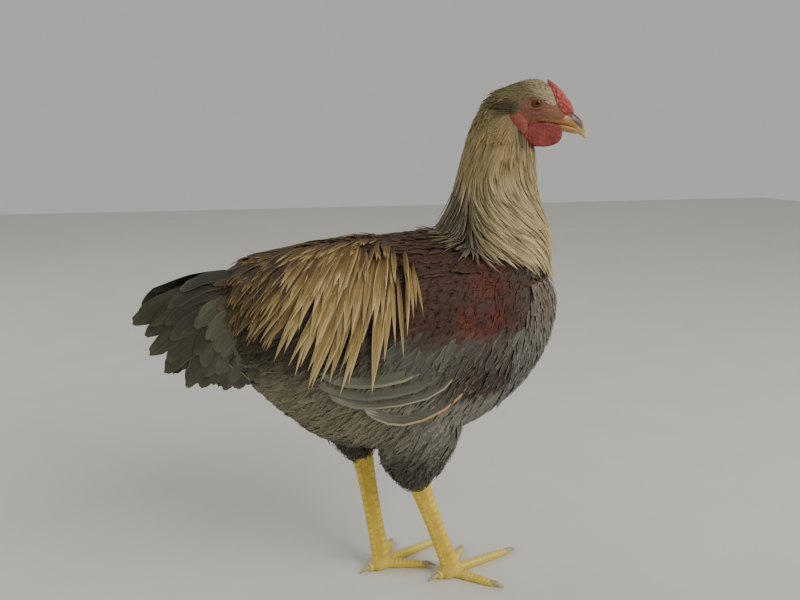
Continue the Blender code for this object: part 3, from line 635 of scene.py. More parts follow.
def region(p, n):
    """The kind of feather that grows at a place of the skin."""
    h = head_back @ p
    if h.x > -0.012 and p.z > HEAD_LOW:
        comb_line = 0.0362 + 0.30 * (0.4765 - h.z)
        if face_share(h) > 0.5 or (h.z > 0.4450 and h.x > comb_line):
            return "face"
        return "throat" if h.z < 0.433 and h.x > 0.009 else "crown"
    cape = HACKLE_LOW + 0.012 * soft_step(n.x, 0.60, 0.95) + 0.004 * patchy(p, 0.016, 2.0)
    if p.z > cape or (p.z > 0.336 and n.z < 0.6 and 0.07 < p.x < 0.11):
        return "hackle"
    if p.z < THIGH_TOP:
        return "thigh"
    outer = abs(n.y) > 0.45
    low = BOW_LOW + 0.010 * patchy(p, 0.018, 4.0)
    if outer and -0.02 < p.x < 0.140 + 0.010 * patchy(p, 0.014, 6.0) and low < p.z < BOW_TOP:
        return "bow"
    if outer and 0.010 < p.x < 0.125 and WING_LOW < p.z <= low:
        return "bar"
    if p.x < RUMP_X:
        return "rump"
    if n.z > 0.25 and p.z > 0.30:
        return "back"
    if p.x > BREAST_X:
        return "breast"
    return "belly" if p.z < BELLY_TOP else "flank"


def markings(kind, p):
    """The colours of a feather's vane and of its rim, by where it grows."""
    slow, quick = patchy(p, 0.05, 3.0), patchy(p, 0.012, 9.0)
    if kind == "face":
        return FACE_RED, FACE_RED
    if kind == "throat":
        return tone(84, 68, 45), tone(104, 86, 58)
    if kind == "crown":
        h = head_back @ p
        front = soft_step(h.x - 0.6 * (0.4680 - h.z), 0.018, 0.032)
        front *= 0.85 + 0.45 * patchy(p, 0.004, 5.0)
        ground = mixed(mixed(CROWN, TUFT, 0.3 * quick), BROW, front)
        cheek = below(h.z, 0.452, 0.014)
        ground = mixed(ground, mixed(STRAW, STRAW_DARK, 0.55), 0.8 * cheek)
        return ground, mixed(mixed(CROWN_PALE, STRAW, cheek), tone(184, 170, 140), front)
    if kind == "hackle":
        rear = below(p.x, 0.126, 0.038)
        low = below(p.z, 0.400, 0.045)
        base = below(p.z, 0.378, 0.040) * rear
        high = soft_step(p.z, 0.405, 0.445)
        h = head_back @ p
        throat = high * bell(h.x, 0.014, 0.007)
        ground = mixed(STRAW, STRAW_DARK, 0.24 + 0.30 * quick - 0.10 * rear + 0.14 * low)
        ground = mixed(mixed(ground, CROWN, 0.5 * high), tone(52, 46, 37), base)
        trim = mixed(mixed(STRAW, STRAW_PALE, low), tone(112, 101, 78), 0.85 * base)
        trim = mixed(trim, CROWN_PALE, 0.5 * high)
        return mixed(ground, tone(76, 60, 40), 0.8 * throat), mixed(trim, STRAW_DARK, 0.7 * throat)
    if kind == "bow":
        spot = math.hypot((p.x - 0.090) / 0.032, (p.z - 0.281) / 0.016)
        top = math.hypot((p.x - 0.104) / 0.024, (p.z - 0.314) / 0.018)
        red = max(1 - soft_step(spot, 0.2, 1.3), 0.75 * (1 - soft_step(top, 0.2, 1.4)))
        glow = min(max(red * (0.62 + 1.3 * quick) + 0.10 * slow, 0.0), 1.0)
        ground = mixed(MAROON, UMBER, 0.45 + 1.1 * slow - 0.5 * quick)
        fore = 0.7 * soft_step(p.x, 0.118, 0.146)
        grey = max(below(p.z, 0.280 + 0.006 * quick, 0.016), fore)
        ground = mixed(mixed(ground, EMBER, glow), tone(84, 80, 72), grey)
        return ground, mixed(ground, FLAME, 0.10 + 0.55 * glow * max(quick + 0.3, 0))
    if kind == "back":
        fore = soft_step(p.x, 0.030, 0.065) * below(p.z, 0.350, 0.010)
        ground = mixed(mixed(BACK_DARK, UMBER, 0.4 + slow), MAROON, 0.7 * fore)
        return ground, mixed(mixed(BACK_RIM, BACK_DARK, 0.35 - quick), MAROON, 0.9 * fore)
    if kind == "bar":
        dark = mixed(tone(88, 85, 77), UMBER, 0.2 + slow)
        return dark, mixed(tone(118, 115, 105), SLATE, 0.3 - quick)
    if kind == "breast":
        high = soft_step(p.z, 0.262, 0.300) * soft_step(p.x, 0.12, 0.15)
        shoulder = soft_step(p.z, 0.264, 0.284) * below(p.x, 0.160, 0.02)
        # The low rear of the breast faces down, and is painted paler there: painted light against the
        # shade it is in.
        side = below(p.z, 0.240, 0.03) * below(p.x, 0.135, 0.04)
        low = below(p.z, 0.196, 0.02) * below(p.x, 0.135, 0.02)
        ground = mixed(SLATE, tone(78, 75, 70), 0.35 + 0.9 * slow - 0.3 * quick)
        ground = mixed(ground, MAROON, 0.6 * shoulder)
        ground = mixed(mixed(ground, tone(132, 128, 114), 0.7 * side), THIGH_GREY, low)
        return mixed(ground, PLUM, high), mixed(SLATE_RIM, PLUM_RIM, high)
    if kind == "thigh":
        return mixed(THIGH_GREY, tone(72, 69, 61), 0.4 + slow), THIGH_RIM
    if kind == "belly":
        rear = below(p.x, 0.06, 0.06)
        low = below(p.z, 0.190, 0.040)
        # The slate is painted 1.2 times lighter: painted light on an underside that faces down.
        ground = mixed(mixed(SLATE * 1.2, tone(100, 96, 86), 0.3 + slow), THIGH_GREY, low)
        trim = mixed(SLATE_RIM, THIGH_RIM, low)
        return mixed(ground, FLUFF, rear * (1 - low)), mixed(trim, FLUFF_RIM, rear * (1 - low))
    if kind == "rump":
        return tone(50, 46, 38), tone(66, 62, 52)
    high = soft_step(p.z, 0.225, 0.270)
    return mixed(FLUFF, tone(58, 52, 42), high), mixed(FLUFF_RIM, tone(84, 76, 60), high)


skin_colours = []
for vert in skin.data.vertices:
    kind = region(vert.co, vert.normal)
    # Under the feathers the skin takes their vanes' colour, painted darker as the shade between them,
    # less so under the crown and the bow.
    colour = markings(kind, vert.co)[0] * (0.85 if kind in ("crown", "bow") else 0.62)
    h = head_back @ vert.co
    if h.x > -0.016 and vert.co.z > 0.425:
        bare = face_share(h)
        lobe = (h - Vector((0.0085, math.copysign(0.0155, h.y), 0.4398))).length
        away = math.hypot(h.x - EYE_PLACE.x, (h.z - EYE_PLACE.z) * 1.12)
        face = mixed(FACE_RED, tone(140, 76, 58), below(h.z, 0.446, 0.008))
        face = mixed(face, tone(140, 88, 60), soft_step(h.x, 0.028, 0.038) * 0.6)
        face = mixed(face, LOBE_RED, 1 - soft_step(lobe, 0.0065, 0.0110))
        face = mixed(face, tone(116, 76, 54), (1 - soft_step(away, 0.008, 0.015)) * 0.8)
        face = mixed(face, LID_BROWN, 1 - soft_step(away, 0.0062, 0.0074))
        gape = soft_step(h.x, 0.036, 0.042) * bell(h.z, 0.4380, 0.0022)
        face = mixed(face, tone(176, 122, 74), 0.9 * gape)
        colour = mixed(colour, face * (1 + 0.10 * patchy(h, 0.002, 5.0)), bare)
    colour[3] = 1.0
    skin_colours.append(colour)
painted(skin.data, "plumage", skin_colours)
flesh = Finish("bare_skin", 0.52, Specular_IOR_Level=0.35, Subsurface_Weight=0.08,
               Subsurface_Scale=0.002)
pimples = flesh.cells(1500.0)
crinkle = flesh.grain(420.0, 5.0)
flesh.raised(pimples * -0.6 + crinkle, 0.0004, 0.6)
skin.data.materials.clear()
skin.data.materials.append(flesh.done(flesh.shade(flesh.carried("plumage"), crinkle * 0.5 + 0.75)))


def finished(piece, slot, *nodes):
    """A piece made smooth, riding on the body, and shown in place of some solids."""
    piece.data.shade_smooth()
    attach(piece, BODY)
    if nodes:
        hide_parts(*nodes)
    return piece


def placed(name, bm, material, slot, *nodes):
    """A finished piece from its bmesh, closed and facing out."""
    bmesh.ops.recalc_face_normals(bm, faces=bm.faces)
    mesh = bpy.data.meshes.new(name)
    bm.to_mesh(mesh)
    bm.free()
    return finished(thing_of(mesh, name, material), slot, *nodes)


finished(skin, "face_skin", "head", "neck", "torso", "tail", "wing_left", "wing_right",
         "thigh_left", "thigh_right")


# The eyes: wet round balls with a brown iris and a dark pupil, set in their lids. Each is a
# sphere whose pole looks outwards, bulged a little at the cornea.
IRIS_REACH, PUPIL_REACH = 0.74, 0.21
wet = Finish("eye_wet", 0.16, Specular_IOR_Level=0.10)
reach, turn, _ = wet.parts(wet.carried("gaze", 1))
fibres = wet.grain(1.0, 3.0, wet.joined(reach * 4.0, turn * 14.0, 0.0))
iris = wet.blend(fibres.between(0.35, 0.65), tone(82, 52, 28), tone(118, 78, 44))
iris = wet.blend(reach.between(0.46, 0.70), iris, tone(70, 40, 23))
iris = wet.blend(reach.between(PUPIL_REACH - 0.03, PUPIL_REACH + 0.02), tone(14, 10, 9), iris)
iris = wet.blend(reach.between(IRIS_REACH, IRIS_REACH + 0.08), iris, tone(30, 20, 16))
eye_finish = wet.done(iris)
for side, name in ((-1, "eye_right"), (1, "eye_left")):
    eye = bmesh.new()
    bmesh.ops.create_uvsphere(eye, u_segments=48, v_segments=36, radius=EYE_RADIUS)
    angles = []
    for vert in eye.verts:
        away = vert.co.angle(Vector((0, 0, 1)))
        angles.append((away, math.atan2(vert.co.y, vert.co.x), 0.0))
        cornea = 1 + 0.045 * bell(away, 0, 0.45)
        vert.co = head_place @ (gaze(side) @ (vert.co * cornea) + eye_centre(side))
    painted(placed(name, eye, eye_finish, "eye", name).data, "gaze", angles, "VECTOR")


# The beak: yellow horn with a dark ridge, hooked at the tip, over a shorter lower half.
# Both halves are lofted, and a nostril under its flap is pushed into each side.
# x, y, z, tilt, up, down and side radius
UPPER_BEAK = [
    (0.0400, 0, 0.4440, -4, 0.0040, 0.0058, 0.0094),
    (0.0470, 0, 0.4436, -6, 0.0058, 0.0060, 0.0090),
    (0.0535, 0, 0.4426, -10, 0.0066, 0.0062, 0.0079),
    (0.0590, 0, 0.4408, -20, 0.0066, 0.0060, 0.0064),
    (0.0640, 0, 0.4378, -33, 0.0052, 0.0056, 0.0049),
    (0.0682, 0, 0.4340, -47, 0.0036, 0.0050, 0.0034),
    (0.0708, 0, 0.4300, -60, 0.0023, 0.0034, 0.0020),
    (0.0720, 0, 0.4262, -72, 0.0007, 0.0010, 0.0007),
]
LOWER_BEAK = [
    (0.0420, 0, 0.4376, -10, 0.0016, 0.0050, 0.0070),
    (0.0500, 0, 0.4366, -10, 0.0016, 0.0046, 0.0068),
    (0.0570, 0, 0.4350, -14, 0.0016, 0.0040, 0.0057),
    (0.0630, 0, 0.4330, -16, 0.0016, 0.0030, 0.0038),
    (0.0668, 0, 0.4314, -16, 0.0010, 0.0014, 0.0016),
]
NOSTRIL = Vector((0.0560, 0.0066, 0.4452))


def beak_relief(h):
    """How far the horn rises at a place: the nostril, the flap over it and the tomium."""
    across, up = h.x - NOSTRIL.x, h.z - NOSTRIL.z + 0.25 * (h.x - NOSTRIL.x)
    hole = bell(across, 0, 0.0017) * bell(up, 0, 0.0007)
    flap = bell(across, 0, 0.0030) * bell(up, 0.0015, 0.0011)
    edge = bell(h.z + 0.20 * (h.x - 0.042), 0.4385, 0.0008)
    return 0.0007 * flap - 0.0016 * hole + 0.00025 * edge + 0.00006 * math.sin(h.x * 2600)


horn = Finish("beak_horn", 0.34, Coat_Weight=0.15, Coat_Roughness=0.25)
streaks = horn.grain(1.0, 4.0, horn.node("Mapping", inputs={0: horn.place(), 3: (260, 260, 900)}))
horn.raised(streaks, 0.0001, 0.5)
horn_finish = horn.done(horn.shade(horn.carried("horn"), streaks * 0.5 + 0.75))
for name, rows in (("beak_upper", UPPER_BEAK), ("beak_lower", LOWER_BEAK)):
    beak = lofted(rows, 48, 56, 2.0, 0.0, head_place)
    beak.normal_update()
    colours = []
    for vert in beak.verts:
        h = head_back @ vert.co
        if rows is UPPER_BEAK:
            vert.co += vert.normal * beak_relief(h)
        ridge = soft_step(h.z - (0.4425 - 0.80 * (h.x - 0.057)), -0.0010, 0.0010)
        dark = ridge * (1 - 0.8 * soft_step(h.x, 0.066, 0.071)) if rows is UPPER_BEAK else 0.0
        colour = mixed(tone(182, 132, 76), tone(204, 180, 130), soft_step(h.x, 0.060, 0.071))
        colour = mixed(colour, tone(72, 58, 46), 0.92 * dark)
        # A painted highlight: a pale line along the top of the dark ridge.
        culmen_highlight = (1 - soft_step(abs(h.y), 0.0008, 0.0020)) * soft_step(h.x, 0.056, 0.060)
        colours.append(mixed(colour, tone(222, 220, 200), 0.85 * culmen_highlight if dark else 0.0))
    painted(placed(name, beak, horn_finish, "beak_horn", name).data, "horn", colours)


# The comb and the wattles: bright red bare skin. The low rose comb is a rounded mass crowded
# with small bulbs, and each wattle is a round hanging fold with a thick rim.
COMB = [
    (0.0588, 0, 0.4462, 112, 0.0036, 0.0022, 0.0044),
    (0.0551, 0, 0.4485, 114, 0.0092, 0.0058, 0.0094),
    (0.0514, 0, 0.4521, 118, 0.0104, 0.0076, 0.0114),
    (0.0479, 0, 0.4566, 124, 0.0100, 0.0078, 0.0118),
    (0.0447, 0, 0.4618, 128, 0.0082, 0.0070, 0.0104),
    (0.0416, 0, 0.4673, 130, 0.0062, 0.0054, 0.0078),
    (0.0385, 0, 0.4723, 132, 0.0038, 0.0034, 0.0046),
    (0.0358, 0, 0.4768, 134, 0.0010, 0.0010, 0.0010),
]


def comb_place(u, v):
    p = form_point(COMB, 2.3, u, v, -0.0006)
    middle = Vector(smooth_row(COMB, v * (len(COMB) - 1))[:3].tolist())
    away = noise.voronoi(Vector((p.x * 420, p.y * 420, p.z * 420)))[0][0]
    return head_place @ (middle + (p - middle) * (1.08 - 0.17 * min(away, 0.9)))


def wattle_place(side):
    def shape(u, v):
        angle = 2 * math.pi * u
        reach = math.sin(math.pi * v)
        rim = 0.0012 + 0.0010 * reach**2
        x = 0.0323 - 0.0168 * math.cos(math.pi * v)
        z = 0.4292 + 0.0105 * math.sin(angle) * reach ** (0.5 if math.sin(angle) > 0 else 0.9)
        hang = below(z, 0.437, 0.014)
        folds = 0.0007 * math.sin(5 * math.pi * v + 2.0 * hang) * hang
        lumps = 0.0005 * noise.noise(Vector((x * 330, side * 5.0, z * 330)))
        y = 0.0124 - 0.10 * (x - 0.020) + 0.04 * (0.437 - z) + folds
        thick = rim * (0.75 + 0.55 * soft_step(abs(math.sin(angle)) * reach, 0.55, 0.95)) + lumps
        return head_place @ Vector((x, side * (y + thick * math.cos(angle)), z))

    return wrapped(shape, 56, 56)


def red_finish(name, deep, bright, grain):
    red = Finish(name, 0.42, Subsurface_Weight=0.12, Subsurface_Scale=0.002,
                 Specular_IOR_Level=0.45)
    warts = red.cells(grain)
    lumps = red.grain(260.0, 4.0)
    colour = red.blend(lumps.between(0.32, 0.68), deep, bright)
    red.raised(lumps * 0.5 - warts, 0.0005, 0.7)
    # Painted light and shade: the red is darker in the pits between the bulbs and a little lighter on
    # their tops.
    return red.done(red.shade(colour, 1.08 - warts * 0.35))


comb_finish = red_finish("comb_skin", tone(174, 66, 59), tone(208, 102, 92), 1300)
comb_mesh = pressed([wrapped(comb_place, 72, 90)], voxel=0.0004, rounds=2)
finished(thing_of(comb_mesh, "comb", comb_finish), "comb_skin", "comb")
wattle_finish = red_finish("wattle_skin", tone(128, 39, 31), tone(151, 56, 43), 1700)
for side, name in ((-1, "wattle_right"), (1, "wattle_left")):
    placed(name, wattle_place(side), wattle_finish, "comb_skin", name)


# The legs: bare yellow shanks and toes in one scaly skin a side, which goes up into the thigh's
# feathers. The skin is pressed from lofted forms, and the large plates of the shank and of the
# toes' backs are raised on it, each overlapping the next one down. Claws are horn.
# Each toe has its turn from straight ahead in degrees, and its length.
LEGS = {
    "right": {
        "hock": Vector((0.0445, -0.0185, 0.1120)),
        "ankle": Vector((0.0800, -0.0149, 0.0130)),
        "toes": {"middle": (16, 0.0840), "outer": (-38, 0.0560), "inner": (56, 0.0520),
                 "hind": (196, 0.0250)},
    },
    "left": {
        "hock": Vector((-0.0015, 0.0185, 0.1290)),
        "ankle": Vector((0.0160, 0.0149, 0.0130)),
        "toes": {"middle": (22, 0.0820), "outer": (62, 0.0500), "inner": (-14, 0.0560),
                 "hind": (199, 0.0250)},
    },
}
# x, y, z, tilt, up, down and side radius
FOOT_PAD = [
    (-0.0115, 0, 0.0065, 0, 0.0028, 0.0030, 0.0035),
    (-0.0070, 0, 0.0068, 0, 0.0070, 0.0072, 0.0082),
    (0.0000, 0, 0.0070, 0, 0.0092, 0.0078, 0.0100),
    (0.0070, 0, 0.0065, 0, 0.0072, 0.0072, 0.0088),
    (0.0115, 0, 0.0055, 0, 0.0035, 0.0050, 0.0045),
]
# How many plates each column of the shank has, and how long a toe's are. The columns of a side
# have a shift along the shank, and the front's and the rear's angles round it.
FRONT_PLATES, REAR_PLATES, TOE_PLATE = 15, 19, 0.0040
PLATE_COLUMNS = ((0.0, (-1.30, -0.03), (-3.00, -2.15)), (0.5, (0.03, 1.30), (2.15, 3.00)))
PLATE_RISE, PLATE_THICK = 0.00065, 0.0007
# Where a toe's plates start, and how far from its tip its skin ends and its claw starts.
PLATES_START, SKIN_END, CLAW_START = 0.009, 0.0105, 0.0125
# x from the claw's start, y, z, tilt, up, down and side radius
CLAW = [
    (-0.0015, 0, 0.0036, 4, 0.0026, 0.0024, 0.0025),
    (0.0025, 0, 0.0040, -6, 0.0027, 0.0024, 0.0024),
    (0.0060, 0, 0.0036, -16, 0.0021, 0.0018, 0.0018),
    (0.0095, 0, 0.0026, -26, 0.0013, 0.0012, 0.0012),
    (0.0125, 0, 0.0014, -34, 0.0004, 0.0004, 0.0004),
]


def shank_place(leg, angle, share, out=0.0):
    """A place on the shank: angle from its front, share of its length, and how far out."""
    top, foot = leg["hock"], leg["ankle"]
    axis = (foot - top).normalized()
    front = Vector((-axis.z, 0, axis.x)).normalized()
    across = axis.cross(front)
    flare = 0.0026 * max(1 - share, 0) ** 3 + 0.0014 * max(share, 0) ** 4
    # A furrow down each side parts the plated front from the tendon behind.
    furrow = 1 - 0.09 * bell(abs(angle), 1.75, 0.32)
    fore = ((0.0076 + flare) * furrow + out) * math.cos(angle)
    side = ((0.0064 + flare) * furrow + out) * math.sin(angle)
    return top.lerp(foot, share) + front * fore + across * side


def toe_size(length, x):
    """The toe's half thickness, with a pad under each joint."""
    s = min(max((x - 0.004) / (length - 0.014), 0.0), 1.0)
    pad = 0.00045 * math.cos(2 * math.pi * (s * length / 0.0195)) * (1 - s**4)
    return 0.0050 - 0.0014 * s - 0.0010 * s**6, pad


def toe_place(length, angle, x, out=0.0):
    """A place on a toe along +X: angle from its back, length along it, and how far out."""
    thick, pad = toe_size(length, x)
    low = math.cos(angle) < 0
    height = (thick + (pad if low else 0.3 * pad) + out) * math.cos(angle)
    across = (thick * 0.96 + 0.4 * pad + out) * math.sin(angle)
    return Vector((x, across, thick - 0.0005 + height))


def floored(bm):
    for vert in bm.verts:
        vert.co.z = max(vert.co.z, 0.0)
    return bm


def plate(bm, surface, angles, lengths):
    """A curved plate on a surface of angle, length and out, raised most at its far edge.
    Its crease_shade is a painted shade in the crease: how near a place is to the edge of the plate
    before, which overlaps it."""
    crease_shade = bm.verts.layers.float["crease_shade"]
    made = bmesh.ops.create_grid(bm, x_segments=6, y_segments=5, size=1.0)["verts"]
    for vert in made:
        s, t = (vert.co.x + 1) / 2, (vert.co.y + 1) / 2
        vert[crease_shade] = (1 - soft_step(t, 0.12, 0.45)) * (1 - abs(2 * s - 1) ** 3)
        rounded = (2 * abs(s - 0.5)) ** 3 * 0.22 * (1 if t > 0.5 else -0.4)
        length = lengths[0] + (lengths[1] - lengths[0]) * (t - rounded * t)
        edge = min(1.0, 7 * min(s, 1 - s))
        out = PLATE_RISE * (0.1 + 0.9 * t) * edge - 0.0001
        vert.co = surface(angles[0] + (angles[1] - angles[0]) * s, length, out)


def plated(surfaces):
    """All plates of a leg in one bmesh."""
    bm = bmesh.new()
    bm.verts.layers.float.new("crease_shade")
    for surface, angles, lengths in surfaces:
        plate(bm, surface, angles, lengths)
    bmesh.ops.recalc_face_normals(bm, faces=bm.faces)
    return bm


def yellowed(finish, patches, low, high, top, foot):
    """Two tones of yellow in patches, and a third one at the foot below a height."""
    height = finish.parts(finish.place())[2]
    patchwork = finish.blend(finish.grain(patches, 4.0).between(0.3, 0.7), low, high)
    return finish.blend(height.between(top, 0.002), patchwork, foot)


scaly = Finish("leg_scales", 0.46, Specular_IOR_Level=0.42, Subsurface_Weight=0.05,
               Subsurface_Scale=0.001)
yellow = yellowed(scaly, 95.0, tone(216, 182, 60), tone(236, 204, 80), 0.020, tone(232, 206, 92))
seams = scaly.cells(620.0, "DISTANCE_TO_EDGE")
scaly.raised(seams.between(0.0, 0.25), 0.0003, 0.6)
leg_finish = scaly.done(scaly.blend(seams.between(0.16, 0.0) * 0.45, yellow, tone(178, 140, 60)))
smooth = Finish("leg_plates", 0.38, Specular_IOR_Level=0.45)
yellow = yellowed(smooth, 110.0, tone(224, 190, 64), tone(242, 212, 86), 0.022, tone(236, 212, 100))
smooth.raised(smooth.grain(900.0, 3.0), 0.0001, 0.5)
# The plates are painted darker just below the edge of the plate over them: a painted shade in the crease.
crease_shade = smooth.carried("crease_shade", 2) * 0.55
plate_finish = smooth.done(smooth.blend(crease_shade, yellow, tone(150, 112, 44)))
talon = Finish("claw_horn", 0.36)
streaked = talon.grain(700.0, 3.0).between(0.3, 0.7)
talon_finish = talon.done(talon.blend(streaked, tone(164, 144, 98), tone(204, 188, 140)))

for name, leg in LEGS.items():
    foot = Matrix.Translation((leg["ankle"].x, leg["ankle"].y, 0))
    middle_turn = math.radians(leg["toes"]["middle"][0])

    def shank_surface(angle, share, out=0.0, leg=leg):
        return shank_place(leg, angle, share, out)

    def shank_shape(u, v):
        return shank_surface(2 * math.pi * (u - 0.5), -0.10 + 1.10 * v)

    pad = lofted(FOOT_PAD, 30, 20, 2.2, 0.0, foot @ Matrix.Rotation(middle_turn, 4, "Z"))
    shells = [wrapped(shank_shape, 40, 50), floored(pad)]
    plates = []
    for offset, front, rear in PLATE_COLUMNS:
        for i in range(FRONT_PLATES):
            start = (i + offset) / FRONT_PLATES
            plates.append((shank_surface, front, (start, start + 1.12 / FRONT_PLATES)))
        for i in range(REAR_PLATES):
            start = i / REAR_PLATES
            plates.append((shank_surface, rear, (start, start + 1.08 / REAR_PLATES)))
    for toe, (turn, length) in leg["toes"].items():
        place = foot @ Matrix.Rotation(math.radians(turn), 4, "Z")
        tip = length - SKIN_END

        def toe_surface(angle, x, out=0.0, place=place, length=length):
            return place @ toe_place(length, angle, x, out)

        def toe_shape(u, v):
            return toe_surface(2 * math.pi * (u - 0.5), tip * (1 - (1 - v) ** 1.4))

        shells.append(floored(wrapped(toe_shape, 28, 44)))
        count = round((tip - PLATES_START) / TOE_PLATE)
        for i in range(count):
            start = PLATES_START + i * (tip - PLATES_START) / count
            plates.append((toe_surface, (-1.15, 1.15), (start, start + TOE_PLATE * 1.15)))
        rows = [(length - CLAW_START + x, *rest) for x, *rest in CLAW]
        claw = lofted(rows, 20, 20, 2.0, 0.0, place)
        placed(f"claw_{name}_{toe}", claw, talon_finish, "claw_horn", f"claw_{name}_{toe}")
    leg_mesh = pressed(shells, voxel=0.0007, rounds=4)
    toes = [f"toe_{name}_{toe}" for toe in leg["toes"]]
    finished(thing_of(leg_mesh, f"leg_{name}", leg_finish), "leg_skin", f"shank_{name}", *toes)
    bark = plated(plates)
    bmesh.ops.solidify(bark, geom=bark.faces[:], thickness=PLATE_THICK)
    scutes = placed(f"plates_{name}", floored(bark), plate_finish, "leg_skin")
    scutes.data.set_sharp_from_angle(angle=math.radians(50))


# The feathers: every one is its own thin closed vane, narrow at its root in the skin, raised
# along its shaft and lying back over the roots of the next ones. They are laid in rows of
# points over the body's surface, which follow the lie of the coat, and joined by their kind.
VANE_THICK, ROOT_DEPTH = 0.00035, 0.0010
# How large a place of the baked picture each feather's colours take up.
PATCH = 0.003
# The middle line of the body from the tail's end to the brow, as x and z.
SPINE = [(-0.205, 0.272), (-0.110, 0.275), (-0.010, 0.245), (0.080, 0.250), (0.120, 0.305),
         (0.123, 0.375), (0.126, 0.428), (0.150, 0.452), (0.190, 0.450)]
spine_line = np.array([smooth_row(SPINE, s) for s in np.linspace(0, len(SPINE) - 1, 320)])
spine_ahead = np.gradient(spine_line, axis=0)
spine_ahead /= np.linalg.norm(spine_ahead, axis=1)[:, None]


def unwrapped(roots):
    """The places of points on the skin unrolled about the body's middle line, from 0 to 1."""
    flat = roots[:, [0, 2]]
    nearest = np.argmin(((flat[:, None] - spine_line[None]) ** 2).sum(2), axis=1)
    ahead = spine_ahead[nearest]
    offset = flat - spine_line[nearest]
    upward = offset[:, 1] * ahead[:, 0] - offset[:, 0] * ahead[:, 1]
    round_it = np.arctan2(roots[:, 1], upward) / (2 * math.pi) + 0.5
    return np.stack([round_it, nearest / len(spine_line)], axis=1) * 0.98 + 0.01


def walk(guide, root, heading, length, stations, droop=0.0, lie=None):
    """Places and outward directions along a vane's middle, over a guide and on past its edge.
    It droops on its way, and bends to the lie of the coat where one is given."""
    place, normal, _, _ = guide.find_nearest(root)
    ahead = heading
    points, normals = [place], [normal]
    for start, end in zip(stations, stations[1:]):
        part = end - start
        if lie:
            ahead = ahead.normalized().lerp(lie(place), 0.5)
        ahead = ahead + Vector((0, 0, -droop * part))
        ahead = (ahead - normal * ahead.dot(normal)).normalized()
        goal = points[-1] + ahead * (length * part)
        place, fresh, _, off = guide.find_nearest(goal)
        if off > 0.5 * length * part:
            place, fresh = goal, normal
        ahead = (place - points[-1]).normalized()
        normal = (normal + fresh).normalized()
        points.append(place)
        normals.append(normal)
    return points, normals


def tipped(root, growth, start, power, least, blunt):
    """The width of a vane at its stations: it grows from the root, and narrows from start on."""
    def width(s):
        end = np.clip((s - start) / (1 - start), 0, 1)
        return np.minimum(root + growth * s, 1.0) * np.clip(1 - end**power, least, 1) ** blunt

    return width


rounded_tip = tipped(0.42, 1.9, 0.5, 2.4, least=0.004, blunt=0.5)
soft_tip = tipped(0.45, 1.7, 0.38, 1.9, least=0.03, blunt=0.85)
pointed_tip = tipped(0.5, 1.4, 0.45, 1.5, least=0.03, blunt=1)


